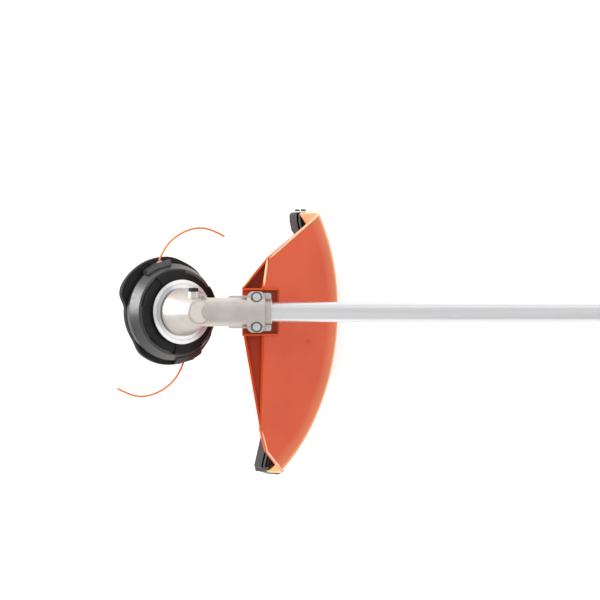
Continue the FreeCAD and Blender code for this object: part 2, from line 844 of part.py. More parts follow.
def line_eyelets():
    eyelets = []
    for number in range(2):
        piece = Piece(f"eyelet_{number}", outward_of(number), *down_axis(-dims.eyelet_level))
        bore = dims.line_radius + 0.5
        piece.turn(
            [
                (bore, 60.5),
                (dims.eyelet_radius - 1.2, 60.5),
                (dims.eyelet_radius - 1.2, 63.5),
                (dims.eyelet_radius - 0.4, 63.5),
                (dims.eyelet_radius - 0.4, 65.6),
                (dims.eyelet_radius - 1.2, 66),
                (bore + 1.2, 66),
                (bore, 64.6),
            ]
        )
        eyelets.append(piece)
    group("line_eyelets", eyelets)


def head_cover():
    """The lobed flange with its turned-down rim and the cup below it."""
    outside = Piece("cover_outside", HEAD)
    rim = dims.lobe_radius
    shell = dims.shell
    outside.turn(
        [
            (dims.dome_radius - 4, -dims.flange_top),
            (rim - 2.5, -dims.flange_top),
            (rim, -dims.flange_top - 2.5),
            (rim, -dims.flange_bottom),
            (rim - shell, -dims.flange_bottom),
            (rim - shell, -dims.flange_top - shell - 1),
            (dims.dome_radius - 1, -dims.flange_top - shell - 1),
            (dims.cup_radius, -dims.cup_bottom + 3),
            (dims.cup_radius - 3, -dims.cup_bottom),
            (dims.cup_opening, -dims.cup_bottom),
            (dims.cup_opening, -dims.cup_bottom + 6),
            (dims.cup_opening + shell, -dims.cup_bottom + 6),
            (dims.cup_opening + shell, -dims.cup_bottom + shell),
            (dims.cup_radius - shell - 2, -dims.cup_bottom + shell),
            (dims.cup_radius - shell, -dims.cup_bottom + shell + 2),
            (dims.dome_radius - 4, -dims.flange_top - 2),
        ]
    )
    # Two notches, each as wide as its lobe gap, leave the flange flush with the dome.
    notch = dims.notch_radius.value
    half = math.radians(27)
    reach = 1.35 * dims.lobe_radius.value
    for middle in (12, 192):
        turn = math.radians(middle)
        steps = [turn + half * (2 * i / SCALLOPS - 1) for i in range(SCALLOPS + 1)]
        loop = [(notch * math.cos(a), notch * math.sin(a)) for a in steps]
        loop += [(reach * math.cos(a), reach * math.sin(a)) for a in (turn + half + 0.1, turn - half - 0.1)]
        outside.cut([loop], -dims.flange_bottom - 1, dims.flange_bottom - dims.flange_top + 3)
    keep("head_cover", cut("head_cover", outside, eyelet_rooms()))


def feed_parts():
    """The sleeve that rides the hub, the spool on it and the knob below."""
    hub_slip = dims.hub_radius + dims.slip
    sleeve_slip = dims.sleeve_radius + dims.slip
    sleeve = Piece("feed_sleeve", HEAD)
    sleeve.turn(
        [
            (hub_slip, -dims.spool_bottom + 0.3),
            (dims.sleeve_radius, -dims.spool_bottom + 0.3),
            (dims.sleeve_radius, -dims.spool_top + 0.3),
            (dims.sleeve_radius + 3, -dims.spool_top + 0.3),
            (dims.sleeve_radius + 3, -dims.spool_top + 1.3),
            (hub_slip, -dims.spool_top + 1.3),
        ]
    )
    keep("feed_sleeve", sleeve.body)
    spring = ring("feed_spring", dims.hub_radius + 0.6, dims.sleeve_radius + 1,
                  -dims.spool_top + 1.4, -dims.wrap_bottom - dims.shell - 0.2, HEAD)
    keep("feed_spring", spring.body)

    spool = Piece("spool", HEAD)
    flange = 1.8
    spool.turn(
        [
            (sleeve_slip, -dims.spool_bottom),
            (dims.spool_radius, -dims.spool_bottom),
            (dims.spool_radius, -dims.spool_bottom + flange),
            (dims.spool_core, -dims.spool_bottom + flange),
            (dims.spool_core, -dims.spool_top - flange),
            (dims.spool_radius, -dims.spool_top - flange),
            (dims.spool_radius, -dims.spool_top),
            (sleeve_slip, -dims.spool_top),
        ]
    )
    keep("spool", spool.body)
    coil = ring("wound_line", dims.spool_core + 0.1, dims.coil_radius,
                -dims.spool_bottom + flange + 0.1, -dims.spool_top - flange - 0.1, HEAD)
    keep("wound_line", coil.body)

    knob = Piece("bump_knob", HEAD)
    radius = dims.knob_radius
    bottom = -dims.knob_bottom
    knob.turn(
        [
            (0, bottom),
            (radius - 12, bottom),
            (radius - 5, bottom + 2.5),
            (radius - 1, bottom + 8),
            (radius, bottom + 14),
            (radius, bottom + 25),
            (radius - 1.5, bottom + 26.5),
            (20, bottom + 26.5),
            (20, -dims.spool_bottom - 0.1),
            (14, -dims.spool_bottom - 0.1),
            (14, -76),
            (0, -76),
        ]
    )
    grip = knob.cut([Circle(radius + 4, 0, 6)], bottom + 6, 22)
    knob.repeat(grip, dims.knob_grips)
    keep("bump_knob", knob.body)

    nut = Piece("arbor_nut", HEAD)
    nut.pad([hexagon(0, 0, 8), Circle(0, 0, dims.arbor_radius + 0.05)], -dims.hub_bottom - 7.2, 7)
    keep("arbor_nut", nut.body)


def trimmer_lines():
    level = -dims.eyelet_level.value
    for number, label in enumerate(("line_upper", "line_lower")):
        sign = 1 - 2 * number
        route = [(sign * x, sign * y, level) for x, y in LINE_ROUTE]
        bar, radii, length = bar_along(route, dims.line_radius.value)
        print(label, "length", round(length, 1), "arc radii", [round(r, 1) for r in radii])
        keep(label, shaped(label, bar, HEAD))


# ---------------------------------------------------------------- guard

GUARD = HEAD.multiply(Rotation(Vector(0, 0, 1), DIMENSIONS["guard_turn"]))


def sheet_level(x, drop=0):
    """The top sheet's level at a distance x along the guard's fall."""
    return dims.sheet_height - dims.sheet_slope * x - drop


def in_front_of(front):
    """The region ahead of the guard's front edge, out past its tips."""
    return [*front, (front[-1][0], -FAR), (-FAR, -FAR), (-FAR, FAR), (front[0][0], FAR)]


def sloping_block(name, radius, bottom, drop, front):
    """The guard's round block below its sloping sheet, cut to its front edge."""
    block = Piece(name, GUARD, 0, dims.guard_shift, 0)
    block.pad([Circle(0, 0, radius)], -bottom, 60 + as_size(bottom))
    if front:
        block.cut([in_front_of(front)], -100, 2 * FAR)
    above = [
        (-30, sheet_level(-30, drop)),
        (FAR, sheet_level(FAR, drop)),
        (FAR, 200),
        (-30, 200),
    ]
    block.cut([above], -FAR, 2 * FAR, "XZ_Plane")
    return block


def is_rim_corner(edge, radius):
    """True for the long curved edge where the sheet meets the round wall."""
    if edge.Curve.TypeId == "Part::GeomLine" or edge.Length < 200:
        return False
    points = edge.discretize(5)
    heights = [p.z for p in points]
    on_wall = all(abs(math.hypot(p.x, p.y) - radius) < 0.5 for p in points)
    return on_wall and max(heights) - min(heights) > 3


def upright(name, start, end, thickness, profile):
    """A wall from start to end in plan, with a profile of (along, up) points."""
    run = Vector(end[0] - start[0], end[1] - start[1], 0)
    heading = Rotation(Vector(0, 0, 1), math.degrees(math.atan2(run.y, run.x)))
    wall = Piece(name, heading, start[0], start[1], 0)
    wall.pad([profile(run.Length)], -as_size(thickness) * 0.5, thickness, "XZ_Plane")
    return wall


def guard_walls():
    """The open-topped box round the clamp, with its webs out to the sheet's corners."""
    thick = 2.6
    half = dims.box_half.value - thick / 2
    start, end = dims.box_start.value, dims.box_end.value - thick / 2
    floor, low = dims.floor_top.value, dims.floor_bottom.value
    corner_a = (96.5, 68)
    corner_d = (86, -142)
    edge = 90.5

    def side_wall(top):
        return lambda run: [(0, low), (run, low), (run, -14), (26, top), (0, 3)]

    def web(near, far):
        return lambda run: [(0, low), (run, low), (run, far), (0, near)]

    return [
        upright("box_side_plus", (start, half), (end, half), thick, side_wall(6)),
        upright("box_side_minus", (start, -half), (end, -half), thick, side_wall(1)),
        upright("box_back", (end, -half), (end, half), thick, web(-14, -14)),
        upright("web_plus", (start, half), corner_a, thick, web(3, 4.5)),
        upright("web_minus", (start + 2.5, -half), corner_d, thick, web(3, -19)),
        upright("edge_plus", (edge, half), corner_a, thick, web(6.5, 4.5)),
        upright("edge_minus", (edge, -half), corner_d, thick, web(-3, -19)),
        web_floor("floor_box", oblong(start - 0.5, end, -half, half), low, floor),
        web_floor("floor_plus", [(start, half), (edge, half), corner_a], low, floor),
        web_floor("floor_minus", [(start + 2.5, -half), corner_d, (edge, -half)], low, floor),
    ]


def web_floor(name, loop, low, top):
    plate = Piece(name)
    plate.pad([loop], low, top - low)
    return plate


def guard():
    wall = dims.guard_wall
    drop = wall * math.hypot(1, dims.sheet_slope.value)
    outer = sloping_block("guard_outer", dims.rim_radius, dims.rim_bottom, 0, GUARD_FRONT)
    outer.soften(dims.rim_round, lambda e: is_rim_corner(e, dims.rim_radius.value))
    inner = sloping_block("guard_inner", dims.rim_radius - wall, dims.rim_bottom + 2, drop, None)
    inner_radius = (dims.rim_radius - wall).value
    inner.soften(dims.rim_round - wall, lambda e: is_rim_corner(e, inner_radius))
    room = box("clamp_room", (55, dims.box_end - 1.3), (-28.7, 28.7), (dims.floor_bottom, 90))
    shell = cut("guard_shell", outer, [inner, room])
    walls = fuse("guard_walls", guard_walls())
    whole = fuse("guard_whole", [shell, walls])
    holes = [
        rod(f"guard_hole_{side}", 2.8, 12, STANDING, dims.screw_along, side * dims.screw_side,
            dims.floor_bottom - 4)
        for side in (-1, 1)
    ]
    keep("guard", cut("guard", whole, holes))


def skirt():
    band = Piece("skirt", GUARD, 0, dims.guard_shift, 0)
    seat = dims.rim_radius - dims.guard_wall - 0.2
    band.turn(
        [
            (seat - 3.4, -dims.rim_bottom + 3.5),
            (seat, -dims.rim_bottom + 3.5),
            (seat, -dims.rim_bottom - 0.1),
            (dims.skirt_outer, -dims.rim_bottom - 0.1),
            (dims.skirt_outer, -dims.skirt_bottom + 1.5),
            (dims.skirt_outer - 1.5, -dims.skirt_bottom),
            (dims.skirt_inner + 1.5, -dims.skirt_bottom),
            (dims.skirt_inner, -dims.skirt_bottom + 1.5),
            (dims.skirt_inner, -60),
            (dims.skirt_inner + 1, -59),
            (seat - 2.6, -59),
            (seat - 2.6, -54),
            (dims.skirt_inner + 1, -54),
            (dims.skirt_inner + 1, -49.5),
            (seat - 3.4, -49.5),
        ]
    )
    plus, minus = 4, -8
    front = [(x, y + (plus if y > 0 else minus)) for x, y in GUARD_FRONT]
    band.cut([in_front_of(front)], -120, 140)
    beyond = Piece("skirt_beyond", HEAD)
    beyond.pad([oblong(60, 300, dims.skirt_turn, 260)], -120, 120)
    beyond.pad([oblong(60, 133, -260, -150)], -120, 120)
    curved = cut("skirt_curved", band, [beyond])
    straight = Piece("skirt_straight", HEAD)
    inner, outer = dims.skirt_turn_inner, dims.skirt_turn_outer
    straight.pad(
        [[(inner + 0.6, dims.skirt_turn - 1), (outer, dims.skirt_turn - 1),
          (outer - 4.5, dims.skirt_end), (inner - 1, dims.skirt_end),
          (inner - 3, dims.skirt_end - 3), (inner - 2.6, dims.skirt_end - 12)]],
        -dims.skirt_bottom, dims.skirt_bottom - dims.rim_bottom - 0.1)
    hook = Piece("skirt_hook", HEAD)
    hook.pad([HOOK], -dims.skirt_bottom, dims.skirt_bottom - dims.rim_bottom - 0.1)
    for low, high in ((59, 54), (49.5, 46)):
        straight.cut([oblong(inner - 8, inner + 1.4, dims.skirt_turn - 6, dims.skirt_end + 6)],
                     -low, low - high)
        hook.cut([HOOK_GROOVE], -low, low - high)
    keep("skirt", fuse("skirt", [curved, straight, hook]))


def line_knife():
    """The cutting plate across the skirt's straight end, and its two screws."""
    end = dims.skirt_end + 0.05
    facing = Rotation(Vector(1, 0, 0), -90)
    knife = Piece("line_knife", HEAD.multiply(facing), 0, end, 0)
    near = dims.skirt_turn_inner - 1.5
    far = dims.skirt_turn_outer + 1.5
    places = [(near + 3.6, 66), (far - 6.6, 53.5)]
    plate = [(near - 2, 49), (far, 48), (far - 1.5, 60), (near + 7, 74), (near, 72)]
    knife.pad([plate, *[Circle(x, level, 2.1) for x, level in places]], 0, 1.6)
    keep("line_knife", knife.body)
    screws = []
    for number, (x, level) in enumerate(places):
        screw = Piece(f"knife_screw_{number}", HEAD.multiply(facing),
                      x * cosine(dims.head_tilt) - level * sine(dims.head_tilt), end,
                      -x * sine(dims.head_tilt) - level * cosine(dims.head_tilt))
        screw.turn([(0, 0.05), (2, 0.05), (2, 1.65), (3.4, 1.65), (3.4, 3.2), (2.4, 4), (0, 4)])
        screw.cut([hexagon(0, 0, 1.3)], 2.6, 2)
        screws.append(screw)
    group("knife_screws", screws)


def guard_clamp():
    length = dims.clamp_end - dims.clamp_start
    block = Piece("clamp_block")
    block.pad([oblong(dims.clamp_start, dims.clamp_end, -dims.clamp_half, dims.clamp_half)],
              dims.bracket_top + 0.1, dims.ear_top - dims.bracket_top - 0.1)
    block.soften(8, lambda e: abs(e.tangentAt(e.FirstParameter).z) > 0.99)
    arch = rod("clamp_arch", dims.clamp_arch, length, ALONG, dims.clamp_start)
    below = box("clamp_below", (60, 100), (-40, 40), (-40, dims.bracket_top + 0.1))
    bore = rod("clamp_bore", dims.neck_radius + dims.slip, 60, ALONG, 50)
    tools = [below, bore]
    for side in (-1, 1):
        place = (dims.screw_along, side * dims.screw_side)
        tools.append(rod(f"ear_sink_{side}", dims.screw_head + 1.4, 30, STANDING, *place, dims.ear_top - 5))
        tools.append(rod(f"ear_hole_{side}", dims.screw_radius + 0.3, 60, STANDING, *place, -30))
    keep("guard_clamp", cut("guard_clamp", fuse("clamp_solid", [block, arch]), tools))


def is_end_corner(edge, first, last):
    """True for an upright straight edge at either end of the bracket."""
    if edge.Curve.TypeId != "Part::GeomLine" or abs(edge.Length - 3.3) > 0.1:
        return False
    along = edge.Vertexes[0].X
    return along < first + 1 or along > last - 1


def guard_fixings():
    bracket = Piece("guard_bracket")
    holes = [Circle(dims.screw_along, side * dims.screw_side, 2.8) for side in (-1, 1)]
    half = [(46, 20.5), (72, 20.5), (74, 24), (100, 24)]
    mirrored = [(x, -y) for x, y in reversed(half)]
    bracket.pad([[*half, *mirrored], *holes], dims.bracket_bottom,
                dims.bracket_top - dims.bracket_bottom)
    bracket.soften(3, lambda e: is_end_corner(e, 46, 100))
    keep("guard_bracket", bracket.body)

    screws = []
    nuts = []
    for side in (-1, 1):
        place = (dims.screw_along, side * dims.screw_side)
        screw = Piece(f"clamp_screw_{side}", STANDING, *place)
        seat = dims.ear_top - 5
        head = dims.screw_head
        screw.turn(
            [
                (0, -33),
                (dims.screw_radius - 0.5, -33),
                (dims.screw_radius, -32.3),
                (dims.screw_radius, seat + 0.05),
                (head, seat + 0.05),
                (head, seat + 2.6),
                (head - 1.4, seat + 4.4),
                (0, seat + 5),
            ]
        )
        star = []
        for i in range(12):
            turn = math.radians(30 * i)
            reach = 2.9 if i % 2 == 0 else 2
            star.append((reach * math.cos(turn), reach * math.sin(turn)))
        screw.cut([star], seat + 2.2, 6)
        screws.append(screw)
        nut = Piece(f"guard_nut_{side}", STANDING, *place)
        nut.pad([hexagon(0, 0, 4), Circle(0, 0, dims.screw_radius + 0.05)], dims.floor_bottom - 4.2, 4)
        nuts.append(nut)
    group("clamp_screws", screws)
    group("guard_nuts", nuts)


# ---------------------------------------------------------------- tube and drive shaft


def shaft():
    tube = Piece("shaft_tube", ALONG)
    inner = dims.tube_radius - dims.tube_wall
    tube.turn(
        [
            (inner, dims.tube_start),
            (dims.tube_radius, dims.tube_start),
            (dims.tube_radius, dims.tube_end),
            (inner, dims.tube_end),
        ]
    )
    keep("shaft_tube", tube.body)

    drive = Piece("drive_shaft", ALONG)
    drive.pad([Circle(0, 0, dims.drive_radius)], dims.drive_start + 11,
              dims.drive_end - dims.drive_start - 22)
    half = dims.drive_square * 0.5
    square = oblong(-half, half, -half, half)
    drive.pad([square], dims.drive_start, 12)
    drive.pad([square], dims.drive_end - 12, 12)
    keep("drive_shaft", drive.body)

    bushes = []
    for number in range(5):
        along = 150 + number * dims.bush_spacing.value
        bushes.append(ring(f"bush_{number}", dims.drive_radius + 0.08, inner - 0.05,
                           0, dims.bush_length, ALONG, along))
    group("shaft_bushes", bushes)


# ---------------------------------------------------------------- loop handle and carrying ring


def loop_handle():
    at = dims.loop_along
    half = dims.loop_clamp_half
    side = dims.loop_clamp_side
    bar_start = 26
    right = [
        (0, bar_start, 24),
        (0, 62, 38),
        (6, 96, 68),
        (14, 112, 108),
        (22, 104, 148),
        (28, 76, 176),
        (31, 38, 189),
    ]
    points = right + [(x, -y, z) for x, y, z in reversed(right)]
    bar, _, _ = bar_along(points, dims.loop_radius.value)
    grip = shaped("loop_bar", bar, STANDING, at)
    tube_room = rod("loop_tube_room", dims.tube_radius + 5.6, 80, ALONG, at - 40)
    bolt_holes = [
        rod(f"loop_bolt_hole_{sign}", 3.1, 80, STANDING, at, sign * 24, -20) for sign in (-1, 1)
    ]
    rounded = Piece("loop_block", STANDING, at)
    rounded.pad([oblong(-half, half, -side, side)], 14, 20)
    rounded.soften(5, lambda e: abs(e.tangentAt(e.FirstParameter).z) > 0.99)
    head_sinks = [
        rod(f"loop_bolt_sink_{sign}", 6.4, 30, STANDING, at, sign * 24, 34) for sign in (-1, 1)
    ]
    solid = fuse("loop_solid", [grip, rounded])
    keep("loop_handle", cut("loop_handle", solid, [tube_room, *bolt_holes, *head_sinks]))

    bore = dims.tube_radius + dims.slip
    upper = Piece("handle_clamp_upper", STANDING, at)
    upper.pad([oblong(-half, half, -side, side)], 0.4, 13.4)
    upper.soften(5, lambda e: abs(e.tangentAt(e.FirstParameter).z) > 0.99)
    saddle = rod("upper_saddle", dims.tube_radius + 5.5, 2 * half, ALONG, at - half)
    above = box("upper_room", (at - 40, at + 40), (-40, 40), (0.4, 40))
    arch = common("upper_arch", saddle, above)
    tools = [rod("upper_bore", bore, 80, ALONG, at - 40), *[
        rod(f"upper_hole_{sign}", 3.1, 40, STANDING, at, sign * 24, -10) for sign in (-1, 1)]]
    keep("handle_clamp_upper", cut("handle_clamp_upper", fuse("upper_solid", [upper, arch]), tools))

    lower = Piece("handle_clamp_lower", STANDING, at)
    lower.pad([oblong(-half, half, -side, side)], -22, 21.6)
    lower.soften(5, lambda e: abs(e.tangentAt(e.FirstParameter).z) > 0.99)
    tools = [rod("lower_bore", bore, 80, ALONG, at - 40), *[
        rod(f"lower_hole_{sign}", 3.1, 60, STANDING, at, sign * 24, -40) for sign in (-1, 1)]]
    keep("handle_clamp_lower", cut("handle_clamp_lower", lower, tools))

    bolts = []
    for side, low in ((-24, -27), (24, -36)):
        bolt = Piece(f"handle_bolt_{side}", STANDING, at, side)
        bolt.turn([(0, low), (2.6, low), (3, low + 0.5), (3, 34.1), (5.6, 34.1), (5.6, 37.6),
                   (4.2, 39.4), (0, 39.4)])
        bolt.cut([hexagon(0, 0, 2.2)], 36, 5)
        bolts.append(bolt)
    group("handle_clamp_bolts", bolts)
    knob = Piece("clamp_knob", STANDING, at, 24)
    knob.turn([(3.06, -34.5), (9, -38), (15, -36), (16, -33), (16, -28), (15, -26), (9, -24.5),
               (9, -22.4), (3.06, -22.4)])
    flute = knob.cut([Circle(18.5, 0, 5)], -42, 20)
    knob.repeat(flute, 7)
    keep("clamp_knob", knob.body)


def carrying_ring():
    at = dims.ring_along
    half = 9
    band = rod("ring_band", dims.tube_radius + 4, 2 * half, ALONG, at - half)
    ear = Piece("ring_ear", STANDING, at)
    ear.pad([[(-half, 10), (half, 10), (half, 22), (half + 3, 30), (half, 38.5),
              (3, 42), (-3, 42), (-half, 38.5), (-half - 3, 30), (-half, 22)]], -2.5, 5, "XZ_Plane")
    lug = box("ring_lug", (at - half, at + half), (-7, 7), (-27, -12))
    slot = box("ring_slot", (at - 20, at + 20), (-1, 1), (-40, 0))
    bore = rod("ring_bore", dims.tube_radius + dims.slip, 60, ALONG, at - 30)
    eye = rod("ring_eye", dims.ring_eye, 30, ACROSS, at, -15, dims.ring_eye_up)
    screw_hole = rod("ring_screw_hole", 2.7, 40, ACROSS, at, -20, -21)
    solid = fuse("ring_solid", [band, ear, lug])
    keep("carrying_ring", cut("carrying_ring", solid, [slot, bore, eye, screw_hole]))
    screw = Piece("carrying_ring_screw", ACROSS, at, 0, -21)
    screw.turn([(0, -8), (2.5, -8), (2.5, 7.1), (4.5, 7.1), (4.5, 11), (3.8, 11.7), (0, 11.7)])
    screw.cut([hexagon(0, 0, 2)], 9, 4)
    keep("carrying_ring_screw", screw.body)


# ---------------------------------------------------------------- rear grip


def halves(base, solid, label_left, label_right, at, reach):
    """Splits a moulding along the machine's middle plane, with a hairline seam."""
    seam = 0.05
    x = (at[0] - 5, at[1] + 5)
    left = box(f"{base}_left_room", x, (seam, reach), (-260, 160))
    right = box(f"{base}_right_room", x, (-reach, -seam), (-260, 160))
    keep(label_left, common(label_left, solid, left))
    keep(label_right, common(label_right, solid, right))


def rear_grip():
    start, end, radius = dims.grip_start, dims.grip_end, dims.grip_radius
    barrel = Piece("grip_barrel", ALONG)
    barrel.turn(
        [
            (0, start),
            (radius - 3, start),
            (radius, start + 4),
            (radius + 2.5, start + 20),
            (radius + 2.5, start + 60),
            (radius, start + 90),
            (radius, end - 30),
            (radius + 4, end - 12),
            (radius + 4, end - 5),
            (radius, end),
            (0, end),
        ]
    )
    barrel.soften(2, lambda e: e.Curve.TypeId == "Part::GeomCircle")
    belly = Piece("grip_belly")
    belly.pad([[(start + 18, 0), (end - 50, 0), (end - 62, -24), (start + 110, -34),
                (start + 40, -40), (start + 26, -36)]], -17, 34, "XZ_Plane")
    belly.soften(5, lambda e: abs(e.tangentAt(e.FirstParameter).y) > 0.99)
    belly.soften(2.5, lambda e: abs(abs(e.CenterOfMass.y) - 17) < 0.01)
    brow = Piece("grip_brow")
    brow.pad([[(start + 20, 0), (end - 34, 0), (end - 40, 26), (end - 60, 29), (start + 44, 29),
               (start + 26, 26)]], -14, 28, "XZ_Plane")
    brow.soften(4, lambda e: abs(e.tangentAt(e.FirstParameter).y) > 0.99)
    brow.soften(2.5, lambda e: abs(abs(e.CenterOfMass.y) - 14) < 0.01)
    solid = fuse("grip_solid", [barrel, belly, brow])
    pivot_x, pivot_z = dims.trigger_pivot, -dims.trigger_drop
    tools = [
        rod("grip_bore", dims.tube_radius + dims.slip, 300, ALONG, 1060),
        box("trigger_room", (start + 36, start + 122), (-8, 8), (-60, -14)),
        box("lock_room", (start + 64, end - 44), (-6.5, 6.5), (14, 60)),
        rod("trigger_pin_hole", 2.05, 26, ACROSS, pivot_x, -13, pivot_z),
        rod("lock_pin_hole", 2.05, 20, ACROSS, dims.lock_pivot, -10, dims.lock_up),
        rod("button_hole", 5.6, 40, STANDING, dims.button_along, 0, 18),
    ]
    for along in (start + 30, end - 24):
        tools.append(rod(f"grip_screw_sink_{along.value}", 3.2, 12, ACROSS, along, -26, -16))
        tools.append(rod(f"grip_screw_hole_{along.value}", 1.7, 40, ACROSS, along, -20, -16))
    shell = cut("grip_shell", solid, tools)
    halves("grip", shell, "grip_left", "grip_right", (dims.grip_start, dims.grip_end), 40)

    pins = [
        rod("trigger_pin", 2, 25, ACROSS, pivot_x, -12.5, pivot_z),
        rod("lock_pin", 2, 19, ACROSS, dims.lock_pivot, -9.5, dims.lock_up),
        rod("latch_pin", 2, 40, ACROSS, dims.bay_end - 24, -20, dims.bay_top),
    ]
    group("lever_pins", pins)
    screws = []
    for number, along in enumerate((start + 30, end - 24)):
        screw = Piece(f"grip_screw_{number}", ACROSS, along, 0, -16)
        screw.turn([(0, -17.2), (3, -17.2), (3, -14.2), (1.6, -14.2), (1.6, 14), (0, 15)])
        screws.append(screw)
    group("grip_screws", screws)

    trigger = Piece("trigger", STANDING, pivot_x, 0, pivot_z)
    trigger.pad([[(-6, -3), (-2, -7), (8, -16), (26, -17.5), (50, -19), (64, -22), (68, -20),
                  (66, -8), (48, -2), (26, 2), (8, 4.5), (-3, 5), (-6, 2)], Circle(0, 0, 2.06)],
                -7.4, 14.8, "XZ_Plane")
    trigger.soften(1.5, lambda e: abs(abs(e.CenterOfMass.y) - 7.4) < 0.01 and e.Length > 3.5
                   and e.Curve.TypeId == "Part::GeomLine")
    keep("trigger", trigger.body)

    lever = Piece("lockout_lever", STANDING, dims.lock_pivot, 0, dims.lock_up)
    lever.pad([[(5, -2.5), (5, 3), (0, 12), (-14, 16), (-40, 17), (-62, 14), (-64, 10),
                (-50, 3.5), (-10, -1.5), (-3, -4)], Circle(0, 0, 2.06)], -6, 12, "XZ_Plane")
    lever.soften(1.5, lambda e: abs(abs(e.CenterOfMass.y) - 6) < 0.01 and e.Length > 3.5
                 and e.Curve.TypeId == "Part::GeomLine")
    keep("lockout_lever", lever.body)

    button = Piece("speed_button", STANDING, dims.button_along)
    button.turn([(0, 22), (5.2, 22), (5.2, 31), (4.2, 32), (0, 32.4)])
    keep("speed_button", button.body)
    switch = box("trigger_switch", (start + 100, start + 120), (-6, 6), (-22, -14.2))
    keep("trigger_switch", switch)


# ---------------------------------------------------------------- power unit


def power_housing():
    start, end, half = dims.unit_start, dims.unit_end, dims.unit_half
    nose = Piece("unit_nose", ALONG)
    nose.turn(
        [
            (0, start),
            (20, start),
            (23, start + 3),
            (27, start + 24),
            (half - 8, start + 52),
            (half, start + 66),
            (half, end - 12),
            (half - 8, end),
            (0, end),
        ]
    )
    nose.soften(6, lambda e: e.Curve.TypeId == "Part::GeomCircle" and abs(e.Length - 339.3) < 1)
    bay = Piece("unit_bay")
    bay.pad([[(start + 62, 0), (end - 6, 0), (end + 14, -40), (dims.bay_end, dims.bay_top + 8),
              (dims.bay_end, dims.bay_bottom), (start + 78, dims.bay_bottom),
              (start + 62, dims.bay_bottom + 22)]],
            -dims.bay_half, 2 * dims.bay_half, "XZ_Plane")
    bay.soften(8, lambda e: abs(e.tangentAt(e.FirstParameter).y) > 0.99 and e.CenterOfMass.z < -20)
    bay.soften(5, lambda e: abs(abs(e.CenterOfMass.y) - 47) < 0.01 and e.CenterOfMass.z < -15)
    solid = fuse("unit_solid", [nose, bay])
    hollow = Piece("unit_hollow", ALONG)
    wall = 3
    hollow.turn(
        [
            (0, start + 56),
            (half - 8 - wall, start + 56),
            (half - wall, start + 66),
            (half - wall, end - 14),
            (half - 10 - wall, end - wall),
            (0, end - wall),
        ]
    )
    pack = dims.pack_half
    front = dims.bay_end - dims.pack_length + 38
    tools = [
        hollow,
        rod("unit_bore", dims.tube_radius + dims.slip, 120, ALONG, start - 10),
        box("pack_room", (front - 4, dims.bay_end + 20), (-pack - 0.4, pack + 0.4),
            (dims.bay_bottom + 6, dims.bay_top - 6)),
        box("board_room", (start + 66, front - 7), (-40, 40), (dims.bay_bottom + 10, -20)),
        box("latch_room", (dims.bay_end - 34, dims.bay_end + 20), (-13, 13),
            (dims.bay_top - 8, dims.bay_top + 30)),
        rod("latch_pin_hole", 2.05, 60, ACROSS, dims.bay_end - 24, -30, dims.bay_top),
    ]
    for number in range(6):
        slot_along = start + 84 + number * 11
        tools.append(box(f"vent_side_{number}", (slot_along, slot_along + 5), (-70, 70), (8, 34)))
    for number in range(5):
        turn = number * 14 - 28
        tools.append(box(f"vent_rear_{number}", (end - 8, end + 20), (turn - 3, turn + 3), (-24, 30)))
    places = housing_screw_places()
    for number, (x, z, head) in enumerate(places):
        tools.append(rod(f"unit_screw_sink_{number}", 3.6, 40, ACROSS, x, head - 37, z))
        tools.append(rod(f"unit_screw_hole_{number}", 1.9, 44, ACROSS, x, head, z))
    shell = cut("unit_shell", solid, tools)
    halves("unit", shell, "power_housing_left", "power_housing_right",
           (dims.unit_start, dims.bay_end), 70)
    screws = []
    for number, (x, z, head) in enumerate(places):
        screw = Piece(f"housing_screw_{number}", ACROSS, x, 0, z)
        screw.turn([(0, head), (3.4, head), (3.4, head + 2.9), (1.8, head + 2.9),
                    (1.8, head + 40), (0, head + 42)])
        screws.append(screw)
    group("housing_screws", screws)


def housing_screw_places():
    """Along, up and the head's side of each screw that joins the housing's halves."""
    partition = dims.bay_end - dims.pack_length + 29
    return [
        (dims.unit_start + 46, 24, -28),
        (dims.unit_start + 46, -24, -28),
        (partition, -80, -44),
        (partition, -150, -44),
    ]


def motor():
    at = dims.motor_along
    stator = Piece("motor_stator", ALONG, at)
    stator.turn([(31, 0), (44, 0), (44, 34), (31, 34)])
    tooth = stator.pad([oblong(24, 33, -3, 3)], 2, 30)
    stator.repeat(tooth, 9)
    keep("motor_stator", stator.body)
    rotor = Piece("rotor_core", ALONG, at)
    rotor.turn([(0, -6), (8, -6), (8, 1), (22.5, 1), (22.5, 33), (8, 33), (8, 36), (5, 36), (5, 66), (0, 66)])
    half = dims.drive_square.value / 2 + 0.05
    nose = Piece("rotor_nose", ALONG)
    nose.pad([Circle(0, 0, 8)], dims.tube_end + 6, at - dims.tube_end - 11)
    socket = Piece("rotor_socket", ALONG)
    socket.pad([oblong(-half, half, -half, half)], dims.tube_end, 20)
    keep("motor_rotor", cut("motor_rotor", fuse("rotor_solid", [rotor, nose]), [socket]))
    fan = Piece("cooling_fan", ALONG, at)
    fan.turn([(5.05, 38), (10, 38), (10, 48), (5.05, 48)])
    disc = [Circle(0, 0, 38), Circle(0, 0, 9.5)]
    fan.pad(disc, 38, 2)
    blade = fan.pad([[(9, -1), (37, 5), (37, 7), (9, 1)]], 38, 10)
    fan.repeat(blade, 11)
    keep("cooling_fan", fan.body)


